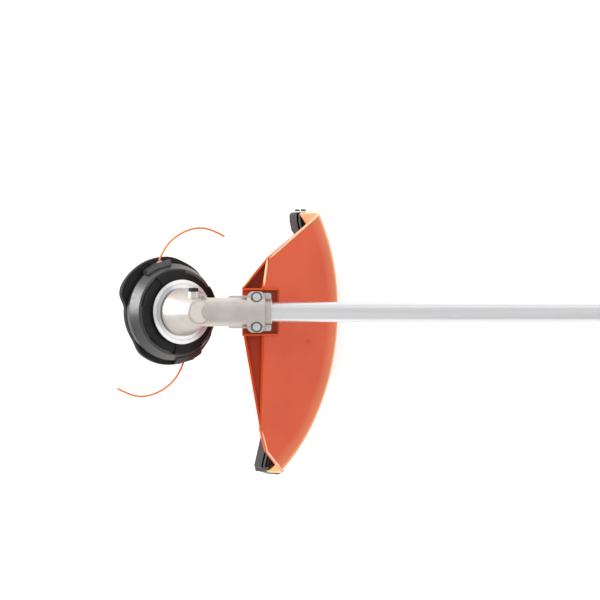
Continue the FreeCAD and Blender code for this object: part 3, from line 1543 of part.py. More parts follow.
def battery():
    front = dims.bay_end - dims.pack_length + 38
    end = dims.bay_end + 34
    pack = dims.pack_half
    case = Piece("battery_block")
    case.pad([[(front, dims.bay_bottom + 6.5), (end - 6, dims.bay_bottom + 6.5), (end, dims.bay_bottom + 14),
               (end, dims.bay_top - 20), (end - 8, dims.bay_top - 6.5), (front, dims.bay_top - 6.5)]],
             -pack, 2 * pack, "XZ_Plane")
    case.soften(4, lambda e: abs(e.tangentAt(e.FirstParameter).x) > 0.99)
    inside = box("battery_inside", (front + 3, end - 9), (-pack + 3, pack - 3),
                 (dims.bay_bottom + 9.5, dims.bay_top - 9.5))
    grip = [box(f"battery_grip_{side}", (end - 22, end - 8), (side * pack - 3, side * pack + 3),
                (-140, -84)) for side in (-1, 1)]
    keep("battery_case", cut("battery_shell", case, [inside, *grip]))
    cells = []
    for row in range(4):
        for column in range(2):
            for side in (-1, 1):
                level = dims.bay_bottom + 21 + row * 20
                along = front + 5 + column * 66
                cells.append(rod(f"cell_{row}_{column}_{side}", dims.cell_radius, dims.cell_length,
                                 ALONG, along, side * 24, level))
    for row in range(4):
        for column in range(2):
            level = dims.bay_bottom + 21 + row * 20
            along = front + 5 + column * 66
            cells.append(rod(f"cell_mid_{row}_{column}", dims.cell_radius, dims.cell_length,
                             ALONG, along, 0, level))
    group("battery_cells", cells)
    board = Piece("controller")
    board.pad([oblong(dims.unit_start + 70, front - 18, -36, 36)], dims.bay_bottom + 14, 8)
    for number in range(8):
        fin = dims.unit_start + 73 + number * 4
        board.pad([oblong(fin, fin + 1.4, -33, 33)], dims.bay_bottom + 21, 13)
    keep("controller", board.body)


def latch_and_feet():
    latch = Piece("battery_latch", STANDING, dims.bay_end - 24, 0, dims.bay_top)
    latch.pad([[(-6, -3.5), (26, -3.5), (38, 2), (38, 9), (30, 12), (10, 9), (-4, 6)],
               Circle(0, 0, 2.06)], -12, 24, "XZ_Plane")
    keep("battery_latch", latch.body)
    feet = []
    reach = ground_drop()
    height = reach + dims.bay_bottom
    for x in (dims.unit_start + 96, dims.bay_end - 18):
        for side in (-1, 1):
            foot = Piece(f"foot_{x.value:.0f}_{side}", STANDING, x, side * 32, -reach)
            foot.turn([(0, 0), (dims.foot_radius - 1.5, 0), (dims.foot_radius, 1.5),
                       (dims.foot_radius, height - 0.1), (0, height - 0.1)])
            feet.append(foot)
    group("rubber_feet", feet)


def ground_drop():
    """How far the ground lies below the tube's axis: to the skirt's lowest edge."""
    tilt = dims.head_tilt
    return dims.skirt_outer * sine(tilt) + dims.skirt_bottom * cosine(tilt)


# ---------------------------------------------------------------- the whole machine


def check():
    for thing in document.Objects:
        if "Invalid" in thing.State or "Error" in thing.State:
            raise RuntimeError(f"{thing.Label} failed: {thing.State}")
    for label, thing in nodes.items():
        if thing.Shape.isNull() or not thing.Shape.isValid():
            raise RuntimeError(f"{label} has no valid shape")


def check_origin():
    """The origin is in the middle of the machine's box, on the ground."""
    whole = FreeCAD.BoundBox()
    for label, thing in nodes.items():
        if label not in ("line_upper", "line_lower"):
            whole.add(thing.Shape.optimalBoundingBox(False))
    misses = [(whole.XMin + whole.XMax) / 2, (whole.YMin + whole.YMax) / 2, whole.ZMin]
    print("box", [round(v, 1) for v in (whole.XLength, whole.YLength, whole.ZLength)])
    print("origin misses by", [round(miss, 3) for miss in misses])
    if max(abs(miss) for miss in misses) > 0.3:
        raise RuntimeError("the origin isn't in the middle of the box, on the ground")


def build():
    gearbox_housing()
    grease_plug()
    gearbox_bearings()
    bearing_carrier()
    bevel_gears()
    output_shaft()
    thrust_plate()
    wrap_ring()
    head_housing()
    line_eyelets()
    head_cover()
    feed_parts()
    trimmer_lines()
    guard()
    skirt()
    line_knife()
    guard_clamp()
    guard_fixings()
    shaft()
    loop_handle()
    carrying_ring()
    rear_grip()
    power_housing()
    motor()
    battery()
    latch_and_feet()


build()
check()
check_origin()
os.makedirs("parts", exist_ok=True)
for label, thing in nodes.items():
    thing.Shape.exportStep(f"parts/{label}.step")
print(len(nodes), "sub-parts")
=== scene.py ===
import json
import math

import bmesh
import bpy
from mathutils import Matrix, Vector
from mathutils.bvhtree import BVHTree


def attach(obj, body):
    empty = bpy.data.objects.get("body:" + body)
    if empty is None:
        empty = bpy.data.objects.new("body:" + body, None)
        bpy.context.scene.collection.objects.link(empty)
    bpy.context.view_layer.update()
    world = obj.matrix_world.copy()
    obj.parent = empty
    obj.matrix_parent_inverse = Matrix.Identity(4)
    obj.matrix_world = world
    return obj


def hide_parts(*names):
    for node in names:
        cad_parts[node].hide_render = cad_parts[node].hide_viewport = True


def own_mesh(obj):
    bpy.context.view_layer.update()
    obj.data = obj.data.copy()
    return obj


# The looks of a battery brush cutter: its materials, small moulded details, lines and light.

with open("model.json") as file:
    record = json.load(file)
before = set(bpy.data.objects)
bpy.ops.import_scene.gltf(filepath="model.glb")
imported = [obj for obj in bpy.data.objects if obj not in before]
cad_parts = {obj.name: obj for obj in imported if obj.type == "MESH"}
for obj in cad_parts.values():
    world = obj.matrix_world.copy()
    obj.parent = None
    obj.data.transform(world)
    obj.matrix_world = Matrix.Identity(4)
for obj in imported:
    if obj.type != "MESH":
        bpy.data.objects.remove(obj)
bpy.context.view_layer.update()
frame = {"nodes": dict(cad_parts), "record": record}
nodes = frame["nodes"]

MM = 0.001
# Where the tube's axis crosses the mowing head's axis, in the row frame.
CROSSING = Vector((-0.79783, 0.03831, 0.17997))
HEAD_TILT = math.radians(29)
ALONG_HEAD = Vector((math.cos(HEAD_TILT), 0, -math.sin(HEAD_TILT)))
ACROSS = Vector((0, 1, 0))
UP_HEAD = Vector((math.sin(HEAD_TILT), 0, math.cos(HEAD_TILT)))
UP = Vector((0, 0, 1))


def shaft(x, y, z):
    """A point in millimetres along the tube, across it and above it."""
    return CROSSING + Vector((x, y, z)) * MM


def head(x, y, level):
    """A point in millimetres in the mowing head's own axes."""
    return CROSSING + (ALONG_HEAD * x + ACROSS * y + UP_HEAD * level) * MM


# ---------------------------------------------------------------- camera

VIEW_WIDTH = 0.75
LENS = 250
SENSOR = 36


def make_camera():
    """A long lens straight above the working end, with the tube running to the right."""
    data = bpy.data.cameras.new("camera")
    data.lens = LENS
    data.sensor_width = SENSOR
    camera = bpy.data.objects.new("camera", data)
    bpy.context.scene.collection.objects.link(camera)
    height = VIEW_WIDTH * LENS / SENSOR
    camera.location = shaft(136, 15, 0) + UP * height
    data.clip_end = 4 * height
    bpy.context.scene.camera = camera


make_camera()


# ---------------------------------------------------------------- materials


def screen(red, green, blue):
    """A scene-linear colour from screen values of 0 to 255."""
    values = []
    for value in (red, green, blue):
        share = value / 255
        values.append(share / 12.92 if share <= 0.04045 else ((share + 0.055) / 1.055) ** 2.4)
    return (*values, 1)


class Finish:
    """A procedural material, built up on one Principled shader."""

    def __init__(self, name, roughness=0.5, metallic=0.0, **sockets):
        self.material = bpy.data.materials.new(name)
        self.material.use_nodes = True
        self.tree = self.material.node_tree
        self.shader = self.tree.nodes["Principled BSDF"]
        self.shader.inputs["Roughness"].default_value = roughness
        self.shader.inputs["Metallic"].default_value = metallic
        for socket, value in sockets.items():
            self.shader.inputs[socket.replace("_", " ")].default_value = value
        self.place = self.node("ShaderNodeTexCoord").outputs["Object"]
        self.normal = None

    def node(self, kind, **settings):
        made = self.tree.nodes.new(kind)
        for key, value in settings.items():
            setattr(made, key, value)
        return made

    def link(self, start, end):
        self.tree.links.new(start, end)

    def stretched(self, x, y, z):
        """The place, scaled along each axis."""
        mapping = self.node("ShaderNodeMapping")
        mapping.inputs["Scale"].default_value = (x, y, z)
        self.link(self.place, mapping.inputs["Vector"])
        return mapping.outputs["Vector"]

    def about_head(self):
        """The place in the mowing head's own axes."""
        mapping = self.node("ShaderNodeMapping", vector_type="TEXTURE")
        mapping.inputs["Location"].default_value = CROSSING
        mapping.inputs["Rotation"].default_value = (0, HEAD_TILT, 0)
        self.link(self.place, mapping.inputs["Vector"])
        return mapping.outputs["Vector"]

    def noise(self, scale, detail=3, place=None, roughness=0.5):
        made = self.node("ShaderNodeTexNoise")
        made.inputs["Scale"].default_value = scale
        made.inputs["Detail"].default_value = detail
        made.inputs["Roughness"].default_value = roughness
        self.link(place or self.place, made.inputs["Vector"])
        return made.outputs["Fac"]

    def cells(self, scale, place=None):
        made = self.node("ShaderNodeTexVoronoi")
        made.inputs["Scale"].default_value = scale
        self.link(place or self.place, made.inputs["Vector"])
        return made.outputs["Distance"]

    def waves(self, scale, kind="BANDS", direction="X", distortion=0.0, place=None):
        made = self.node("ShaderNodeTexWave", wave_type=kind)
        setattr(made, "bands_direction" if kind == "BANDS" else "rings_direction", direction)
        made.inputs["Scale"].default_value = scale
        made.inputs["Distortion"].default_value = distortion
        self.link(place or self.place, made.inputs["Vector"])
        return made.outputs["Fac"]

    def between(self, value, low, high, start=0.3, end=0.7):
        """A texture's value, spread from low to high."""
        made = self.node("ShaderNodeMapRange")
        made.inputs["From Min"].default_value = start
        made.inputs["From Max"].default_value = end
        made.inputs["To Min"].default_value = low
        made.inputs["To Max"].default_value = high
        self.link(value, made.inputs["Value"])
        return made.outputs["Result"]

    def times(self, first, second):
        made = self.node("ShaderNodeMath", operation="MULTIPLY")
        self.link(first, made.inputs[0])
        self.link(second, made.inputs[1])
        return made.outputs[0]

    def colour(self, value, stops):
        """The colour that a texture's value gives, from stops of place and colour."""
        ramp = self.node("ShaderNodeValToRGB")
        while len(ramp.color_ramp.elements) < len(stops):
            ramp.color_ramp.elements.new(0.5)
        for element, (place, shade) in zip(ramp.color_ramp.elements, stops):
            element.position = place
            element.color = shade
        self.link(value, ramp.inputs["Fac"])
        return ramp.outputs["Color"]

    def blend(self, share, first, second):
        """Two colours, or textures' colours, mixed by a texture's value."""
        made = self.node("ShaderNodeMix", data_type="RGBA")
        self.link(share, made.inputs[0])
        for socket, value in ((made.inputs[6], first), (made.inputs[7], second)):
            if isinstance(value, tuple):
                socket.default_value = value
            else:
                self.link(value, socket)
        return made.outputs[2]

    def paint(self, colour):
        self.link(colour, self.shader.inputs["Base Color"])
        return self

    def rough(self, value, low, high):
        self.link(self.between(value, low, high), self.shader.inputs["Roughness"])
        return self

    def bump(self, value, depth, strength=1.0):
        """Raises the surface by a texture, to a depth in millimetres."""
        made = self.node("ShaderNodeBump")
        made.inputs["Distance"].default_value = depth * MM
        made.inputs["Strength"].default_value = strength
        self.link(value, made.inputs["Height"])
        if self.normal is not None:
            self.link(self.normal, made.inputs["Normal"])
        self.normal = made.outputs["Normal"]
        self.link(self.normal, self.shader.inputs["Normal"])
        return self


def cast_aluminium():
    """Shot-blasted casting: a warm grey skin with a fine pitted grain."""
    made = Finish("cast_aluminium", metallic=0.75)
    grain = made.noise(2600, 4)
    patches = made.noise(45, 3)
    made.paint(made.blend(made.between(patches, 0, 1), screen(190, 184, 177), screen(204, 199, 193)))
    made.rough(patches, 0.34, 0.44)
    return made.bump(grain, 0.05, 0.5).bump(made.noise(320, 2), 0.12, 0.35)


def tube_aluminium():
    """Drawn tube: brushing and draw lines that run along it."""
    made = Finish("tube_aluminium", metallic=0.9)
    lines = made.noise(900, 3, made.stretched(0.012, 1, 1))
    wide = made.noise(120, 2, made.stretched(0.02, 1, 1))
    made.paint(made.blend(made.between(wide, 0, 1), screen(214, 214, 216), screen(229, 229, 230)))
    made.rough(lines, 0.26, 0.36)
    return made.bump(lines, 0.02, 0.35)


def turned_steel(name, dark, light, rough_low, rough_high):
    """Plated steel with turning marks about the head's axis."""
    made = Finish(name, metallic=1.0)
    rings = made.waves(260, "RINGS", "Z", 0.0, made.about_head())
    stains = made.noise(70, 3)
    made.paint(made.blend(made.between(stains, 0, 1), dark, light))
    made.rough(stains, rough_low, rough_high)
    return made.bump(rings, 0.006, 0.25)


def plated_steel():
    return turned_steel("plated_steel", screen(208, 209, 211), screen(228, 229, 231), 0.3, 0.4)


def bearing_steel():
    return turned_steel("bearing_steel", screen(190, 191, 193), screen(215, 216, 218), 0.12, 0.2)


def hard_steel():
    """Ground and oiled steel, with a bluish cast and fine scratches."""
    made = Finish("hard_steel", metallic=1.0)
    scratches = made.noise(700, 4, made.stretched(0.05, 1, 1))
    made.paint(made.blend(made.between(made.noise(60), 0, 1), screen(120, 122, 128), screen(160, 160, 162)))
    made.rough(scratches, 0.22, 0.4)
    return made.bump(scratches, 0.01, 0.4)


def black_screw():
    """Black oxide, worn to grey in patches."""
    made = Finish("black_screw", metallic=0.6)
    worn = made.noise(380, 4)
    made.paint(made.blend(made.between(worn, 0, 1, 0.45, 0.75), screen(24, 24, 25), screen(70, 70, 72)))
    made.rough(worn, 0.35, 0.55)
    return made.bump(worn, 0.02, 0.4)


def moulded(name, dark, light, rough_low, rough_high, grain, depth, **sockets):
    """Moulded plastic: an even colour with faint flow, and a spark-eroded grain."""
    made = Finish(name, **sockets)
    flow = made.noise(14, 2)
    fine = made.noise(grain, 3)
    made.paint(made.blend(made.between(flow, 0, 1), dark, light))
    made.rough(made.noise(grain / 14, 3), rough_low, rough_high)
    return made.bump(fine, depth, 0.55)


def scuffed(made, colour, share):
    """Adds light scuffs, as where a part rubs the ground."""
    marks = made.noise(260, 5, made.stretched(0.25, 1, 1.3), 0.65)
    base = made.shader.inputs["Base Color"].links[0].from_socket
    return made.paint(made.blend(made.between(marks, 0, share, 0.55, 0.8), base, colour))


def head_plastic():
    return moulded("head_plastic", screen(16, 16, 17), screen(22, 22, 23), 0.34, 0.46, 1900, 0.05,
                   Specular_IOR_Level=0.22)


def dome_satin():
    """The dome's mottled satin skin, which shines where it faces a light."""
    made = Finish("dome_satin", Specular_IOR_Level=1.0)
    mottle = made.noise(420, 4, roughness=0.7)
    clouds = made.noise(60, 3)
    made.paint(made.blend(made.between(clouds, 0, 1), screen(20, 20, 21), screen(30, 30, 31)))
    made.rough(mottle, 0.3, 0.46)
    return made.bump(mottle, 0.05, 0.6)


def knob_plastic():
    made = moulded("knob_plastic", screen(58, 58, 60), screen(70, 70, 72), 0.45, 0.6, 1500, 0.07)
    return scuffed(made, screen(140, 138, 134), 0.6)


def guard_plastic():
    made = moulded("guard_plastic", screen(206, 66, 4), screen(216, 77, 8), 0.3, 0.4, 2300, 0.025,
                   Subsurface_Weight=0.12, Subsurface_Scale=0.004,
                   Subsurface_Radius=(1.0, 0.35, 0.12), Specular_IOR_Level=0.35)
    # Paints a pale cream highlight along the guard's round rim.
    painted_rim_highlight(made)
    return made.bump(made.noise(36, 1), 0.25, 0.25)


def painted_rim_highlight(made):
    """A painted highlight: pales the round rim where it is seen edge-on, in place of the bright studio
    reflected along the rim's curve.
    """
    split = made.node("ShaderNodeSeparateXYZ")
    made.link(made.about_head(), split.inputs[0])
    flat = made.node("ShaderNodeCombineXYZ")
    made.link(split.outputs["X"], flat.inputs["X"])
    made.link(split.outputs["Y"], flat.inputs["Y"])
    out = made.node("ShaderNodeVectorMath", operation="DISTANCE")
    made.link(flat.outputs[0], out.inputs[0])
    out.inputs[1].default_value = (0, -0.016, 0)
    near_rim = made.between(out.outputs["Value"], 0, 1, 0.205, 0.229)
    edge_on = made.node("ShaderNodeLayerWeight")
    edge_on.inputs["Blend"].default_value = 0.5
    slanted = made.between(edge_on.outputs["Facing"], 0, 1, 0.3, 0.85)
    base = made.shader.inputs["Base Color"].links[0].from_socket
    # The cream mixed in here is the rim's painted highlight.
    made.paint(made.blend(made.times(near_rim, slanted), base, screen(255, 212, 152)))


def lip_painted_highlight():
    """The guard's raised lip: its paler orange is a painted highlight along its thin edge."""
    return moulded("lip_painted_highlight", screen(255, 190, 130), screen(255, 214, 170), 0.25, 0.35, 2300, 0.02,
                   Subsurface_Weight=0.3, Subsurface_Scale=0.003,
                   Subsurface_Radius=(1.0, 0.5, 0.2), Coat_Weight=0.3, Coat_Roughness=0.15)


def skirt_plastic():
    made = moulded("skirt_plastic", screen(18, 18, 19), screen(25, 25, 26), 0.3, 0.42, 1700, 0.05,
                   Specular_IOR_Level=0.4)
    return scuffed(made, screen(120, 116, 110), 0.35)


def line_nylon():
    """Extruded nylon line, with faint streaks in its surface."""
    made = Finish("line_nylon", Subsurface_Weight=0.35, Subsurface_Scale=0.0015,
                  Subsurface_Radius=(1.0, 0.45, 0.15))
    streaks = made.noise(1500, 2)
    made.paint(made.blend(made.between(streaks, 0, 1), screen(232, 116, 16), screen(242, 138, 34)))
    made.rough(streaks, 0.28, 0.4)
    return made.bump(streaks, 0.03, 0.4)


def spool_plastic():
    return moulded("spool_plastic", screen(222, 150, 58), screen(232, 164, 70), 0.4, 0.5, 1400, 0.05)


def grip_rubber():
    """Soft-touch rubber with a fine pebble."""
    made = Finish("grip_rubber", Sheen_Weight=0.15, Sheen_Roughness=0.5)
    pebble = made.cells(1100)
    made.paint(made.blend(made.between(made.noise(30), 0, 1), screen(34, 34, 36), screen(46, 46, 48)))
    made.rough(made.noise(140), 0.6, 0.78)
    return made.bump(pebble, 0.12, 0.6)


def handle_plastic():
    return moulded("handle_plastic", screen(44, 44, 46), screen(52, 52, 54), 0.46, 0.58, 1300, 0.06)


def housing_plastic():
    return moulded("housing_plastic", screen(212, 76, 16), screen(222, 86, 24), 0.34, 0.46, 1600, 0.05,
                   Coat_Weight=0.1, Coat_Roughness=0.25)


def dark_plastic():
    return moulded("dark_plastic", screen(46, 46, 48), screen(56, 56, 58), 0.48, 0.62, 1200, 0.08)


def control_plastic():
    return moulded("control_plastic", screen(226, 92, 36), screen(236, 108, 46), 0.32, 0.42, 1800, 0.03)


def foot_rubber():
    made = moulded("foot_rubber", screen(30, 30, 31), screen(40, 40, 41), 0.7, 0.85, 900, 0.1)
    return scuffed(made, screen(96, 92, 86), 0.4)


def copper_winding():
    """Enamelled copper in fine layers."""
    made = Finish("copper_winding", metallic=0.8)
    sheets = made.waves(1400, "BANDS", "X")
    made.paint(made.blend(made.between(sheets, 0, 1), screen(150, 80, 44), screen(202, 122, 76)))
    made.rough(made.noise(300), 0.25, 0.4)
    return made.bump(sheets, 0.12, 0.7)


def cell_wrap():
    """Shrink-wrapped cells: a glossy blue sleeve with faint folds."""
    made = Finish("cell_wrap")
    folds = made.waves(180, "BANDS", "X", 3)
    made.paint(made.blend(made.between(folds, 0, 1), screen(52, 104, 160), screen(66, 122, 178)))
    made.rough(made.noise(200), 0.15, 0.3)
    return made.bump(folds, 0.05, 0.4)


def board():
    """A circuit board's green mask over its tracks."""
    made = Finish("board")
    tracks = made.waves(160, "BANDS", "Y", 6)
    made.paint(made.blend(made.between(tracks, 0, 1, 0.45, 0.55), screen(22, 82, 52), screen(38, 112, 70)))
    made.rough(tracks, 0.3, 0.45)
    return made.bump(tracks, 0.05, 0.6)


def brass():
    made = Finish("brass", metallic=1.0)
    marks = made.noise(500, 3, made.stretched(1, 0.1, 1))
    made.paint(made.blend(made.between(made.noise(90), 0, 1), screen(196, 156, 84), screen(214, 178, 106)))
    made.rough(marks, 0.2, 0.35)
    return made.bump(marks, 0.015, 0.4)


def lamp():
    """A small green status lamp behind frosted plastic."""
    made = Finish("status_lamp", Emission_Strength=0.6, Emission_Color=screen(70, 220, 110))
    made.paint(made.blend(made.between(made.noise(900), 0, 1), screen(70, 200, 110), screen(110, 226, 140)))
    return made.rough(made.noise(700), 0.2, 0.3)


FINISHES = [
    cast_aluminium, tube_aluminium, plated_steel, hard_steel, black_screw, head_plastic, knob_plastic,
    guard_plastic, skirt_plastic, line_nylon, spool_plastic, grip_rubber, handle_plastic,
    housing_plastic, dark_plastic, control_plastic, foot_rubber, copper_winding, cell_wrap, board,
    bearing_steel, brass,
]
finishes = {make.__name__: make().material for make in FINISHES}
# The guard lip's pale finish is a painted highlight.
finishes["lip_painted_highlight"] = lip_painted_highlight().material
finishes["dome_satin"] = dome_satin().material
finishes["status_lamp"] = lamp().material


# CAD nodes whose skin differs from the rest of their slot.
OWN_FINISH = {"head_housing": "dome_satin"}


def node_slots():
    """The material slot of each CAD node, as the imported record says."""
    slots = {}
    for part in frame["record"]["subparts"]:
        slots[part["node"]] = part["material_slot"]
    return slots


def dress_cad():
    slots = node_slots()
    for name, thing in nodes.items():
        thing.data.materials.clear()
        thing.data.materials.append(finishes[OWN_FINISH.get(name, slots[name])])


# ---------------------------------------------------------------- making pieces


def add_piece(name, mesh, body, slot, finish=None):
    """Puts a mesh into the scene, on a body, with its slot's finish or one of its own."""
    piece = bpy.data.objects.new(name, mesh)
    bpy.context.scene.collection.objects.link(piece)
    mesh.materials.append(finishes[finish or slot])
    for face in mesh.polygons:
        face.use_smooth = True
    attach(piece, body)
    return piece


def finish_mesh(name, shape):
    mesh = bpy.data.meshes.new(name)
    bmesh.ops.recalc_face_normals(shape, faces=shape.faces)
    shape.to_mesh(mesh)
    shape.free()
    return mesh


def sweep(shape, points, radii, sides=12, closed=False):
    """Adds a tube through points to a mesh, with a radius at each point."""
    count = len(points)
    side = None
    rings = []
    for i in range(count):
        before = points[i - 1] if i or closed else points[i]
        after = points[(i + 1) % count] if i + 1 < count or closed else points[i]
        ahead = (after - before).normalized()
        if side is None:
            side = ahead.orthogonal().normalized()
        side = (side - ahead * side.dot(ahead)).normalized()
        up = ahead.cross(side)
        ring = []
        for k in range(sides):
            turn = 2 * math.pi * k / sides
            out = side * math.cos(turn) + up * math.sin(turn)
            ring.append(shape.verts.new(points[i] + out * radii[i]))
        rings.append(ring)
    pairs = list(zip(rings, rings[1:]))
    if closed:
        pairs.append((rings[-1], rings[0]))
    for low, high in pairs:
        for k in range(sides):
            nxt = (k + 1) % sides
            shape.faces.new((low[k], low[nxt], high[nxt], high[k]))
    if not closed:
        shape.faces.new(rings[0])
        shape.faces.new(rings[-1])


def add_ring(shape, centre, axis, radius, thickness, steps=40, sides=8):
    """Adds a round hoop about an axis to a mesh."""
    first = axis.orthogonal().normalized()
    second = axis.cross(first)
    turns = [2 * math.pi * i / steps for i in range(steps)]
    points = [centre + (first * math.cos(turn) + second * math.sin(turn)) * radius for turn in turns]
    sweep(shape, points, [thickness] * steps, sides, closed=True)


def add_dome(shape, centre, axis, radius, height, steps=12, levels=3):
    """Adds a low closed dome that stands on a surface to a mesh."""
    first = axis.orthogonal().normalized()
    second = axis.cross(first)
    rings = []
    for level in range(levels):
        rise = math.pi / 2 * level / levels
        reach = radius * math.cos(rise)
        lift = height * math.sin(rise)
        rings.append([
            shape.verts.new(centre + axis * lift
                            + (first * math.cos(2 * math.pi * k / steps)
                               + second * math.sin(2 * math.pi * k / steps)) * reach)
            for k in range(steps)
        ])
    top = shape.verts.new(centre + axis * height)
    shape.faces.new(rings[0])
    for low, high in zip(rings, rings[1:]):
        for k in range(steps):
            nxt = (k + 1) % steps
            shape.faces.new((low[k], low[nxt], high[nxt], high[k]))
    for k in range(steps):
        shape.faces.new((rings[-1][k], rings[-1][(k + 1) % steps], top))


def skin(*names):
    """The surfaces of CAD nodes, for laying details on."""
    shape = bmesh.new()
    for name in names:
        shape.from_mesh(nodes[name].data)
    tree = BVHTree.FromBMesh(shape)
    shape.free()
    return tree


def land(tree, start, heading):
    """Where a straight line from a point meets a surface, and the surface's outward side."""
    point, normal, _, _ = tree.ray_cast(start, heading.normalized())
    if point is None:
        return None, None
    if normal.dot(heading) > 0:
        normal = -normal
    return point, normal


def drape(tree, corners, step=2.0, lift=0.0):
    """A path over a surface, above corners given along and across the tube in millimetres."""
    path = []
    for start, end in zip(corners, corners[1:]):
        run = Vector(end) - Vector(start)
        parts = max(1, round(run.length / step))
        for i in range(parts + 1):
            if i == 0 and path:
                continue
            spot = Vector(start) + run * i / parts
            point, _ = land(tree, shaft(spot.x, spot.y, 80), -UP)
            if point is not None:
                path.append(point + UP * lift * MM)
    return path


def tapered(count, radius, ends=3):
    """Radii along a bead, with rounded ends."""
    radii = []
    for i in range(count):
        reach = min(i, count - 1 - i)
        radii.append(radius * (0.35 + 0.65 * min(1, reach / ends)))
    return radii


# ---------------------------------------------------------------- the trimmer lines

# The line's route, across the head from its axis, on the eyelets' level.
LINE_ROUTE = [
    (-17.2, 64.2),
    (-12.7, 75.0),
    (-0.9, 90.0),
    (17.6, 101.6),
    (40.0, 107.4),
    (60.8, 103.2),
    (75.8, 95.8),
]
LINE_LEVEL = -54.5
LINE_RADIUS = 1.2


def trimmer_line(name, node, side):
    data = bpy.data.curves.new(name, "CURVE")
    data.dimensions = "3D"
    data.bevel_depth = LINE_RADIUS * MM
    data.bevel_resolution = 5
    data.resolution_u = 16
    data.use_fill_caps = True
    spline = data.splines.new("NURBS")
    spline.points.add(len(LINE_ROUTE) - 1)
    for point, (x, y) in zip(spline.points, LINE_ROUTE):
        point.co = (*head(x * side, y * side, LINE_LEVEL), 1)
    spline.order_u = 3
    spline.use_endpoint_u = True
    line = bpy.data.objects.new(name, data)
    bpy.context.scene.collection.objects.link(line)
    data.materials.append(finishes["line_nylon"])
    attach(line, "mowing_head")
    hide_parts(node)
    x, y = LINE_ROUTE[0]


# ---------------------------------------------------------------- mowing head details

# The lobed flange's outer radius at angles in degrees round the head's axis.
LOBES = [
    (0, 61.5), (39, 61.5), (46, 64), (52, 65), (72, 66.5), (89, 69.8), (110, 71.1), (132, 72.6),
    (150, 74), (158, 73.6), (163, 71.5), (168, 67), (173, 61.5), (219, 61.5), (224, 64),
    (232, 66.5), (256, 67), (305, 67), (335, 66.5), (345, 61.5), (360, 61.5),
]
# The cover's section as reach from the axis and level. A reach under 5 is measured in from the rim.
COVER_SECTION = [
    (57, -57.2), (2.5, -57.2), (1.2, -57.55), (0.35, -58.4), (0, -59.7), (0, -65.1), (0.4, -65.5),
    (2.5, -65.5), (2.5, -60.7), (60, -60.7), (58, -73), (57.1, -75.1), (55, -76), (40, -76),
    (40, -70), (42.5, -70), (42.5, -73.5), (53.5, -73.5), (55.5, -71.5), (57, -59.2),
]


def lobe_reach(angle):
    for (start, low), (end, high) in zip(LOBES, LOBES[1:]):
        if angle <= end:
            share = (angle - start) / (end - start)
            return low + (high - low) * share
    return LOBES[-1][1]


def smoothed_lobes(steps, window=2):
    """The flange's radius at each step round it, with its corners eased."""
    raw = [lobe_reach(360 * i / steps) for i in range(steps)]
    eased = []
    for i in range(steps):
        near = [raw[(i + k) % steps] for k in range(-window, window + 1)]
        eased.append(sum(near) / len(near))
    return eased


def lobed_cover():
    """The flange with its two finger lobes, its turned-down rim and the cup below it."""
    steps = 180
    shape = bmesh.new()
    rings = []
    for i, rim in enumerate(smoothed_lobes(steps)):
        angle = 2 * math.pi * i / steps
        ring = []
        for reach, level in COVER_SECTION:
            out = rim - reach if reach < 5 else reach
            ring.append(shape.verts.new(head(out * math.cos(angle), out * math.sin(angle), level)))
        rings.append(ring)
    count = len(COVER_SECTION)
    for i in range(steps):
        here, there = rings[i], rings[(i + 1) % steps]
        for k in range(count):
            nxt = (k + 1) % count
            shape.faces.new((here[k], here[nxt], there[nxt], there[k]))
    mesh = finish_mesh("lobed_cover", shape)
    cover = add_piece("lobed_cover", mesh, "mowing_head", "head_plastic")
    mesh.set_sharp_from_angle(angle=math.radians(32))
    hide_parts("head_cover")


def add_block(shape, loop, low, high, bevel=0.0):
    """Adds a plate with an outline in the head's axes, between two levels, with eased edges."""
    bottom = [shape.verts.new(head(x, y, low)) for x, y in loop]
    top = [shape.verts.new(head(x, y, high)) for x, y in loop]
    faces = [shape.faces.new(bottom), shape.faces.new(top)]
    for k in range(len(loop)):
        nxt = (k + 1) % len(loop)
        faces.append(shape.faces.new((bottom[k], bottom[nxt], top[nxt], top[k])))
    bmesh.ops.recalc_face_normals(shape, faces=faces)
    if bevel:
        edges = {edge for face in faces for edge in face.edges if edge.calc_face_angle(0) > 0.5}
        bmesh.ops.bevel(shape, geom=list(edges), offset=bevel * MM, segments=2, affect="EDGES",
                        clamp_overlap=True)


def line_bosses():
    """The wide shoulders that the lines leave the dome through."""
    shape = bmesh.new()
    for turn in (0, 180):
        loop = []
        for angle in range(97, 129, 3):
            a = math.radians(angle + turn)
            loop.append((65.3 * math.cos(a), 65.3 * math.sin(a)))
        for angle in (131, 128, 113, 95, 93):
            a = math.radians(angle + turn)
            reach = 58.5 if 94 < angle < 130 else 60
            loop.append((reach * math.cos(a), reach * math.sin(a)))
        add_block(shape, loop, -57.3, -46, 0.8)
    mesh = finish_mesh("line_bosses", shape)
    add_piece("line_bosses", mesh, "mowing_head", "head_plastic", "dome_satin")
    mesh.set_sharp_from_angle(angle=math.radians(32))



def feed_spring():
    """The helical spring between the feed sleeve and the dome."""
    bottom, top, turns = -42.9, -39.4, 3.2
    radius, wire, ceiling = 11.4, 0.5, -38.62
    steps = int(turns * 40)
    points = []
    for i in range(steps + 1):
        share = i / steps
        rise = min(1, max(0, (share - 0.12) / 0.76))
        turn = 2 * math.pi * turns * share
        level = bottom + (top - bottom) * rise
        points.append(head(radius * math.cos(turn), radius * math.sin(turn), level))
    shape = bmesh.new()
    sweep(shape, points, [wire * MM] * len(points), 8)
    spring = add_piece("feed_coil_spring", finish_mesh("feed_coil_spring", shape), "mowing_head",
                       "hard_steel")
    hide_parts("feed_spring")
    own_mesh(spring)


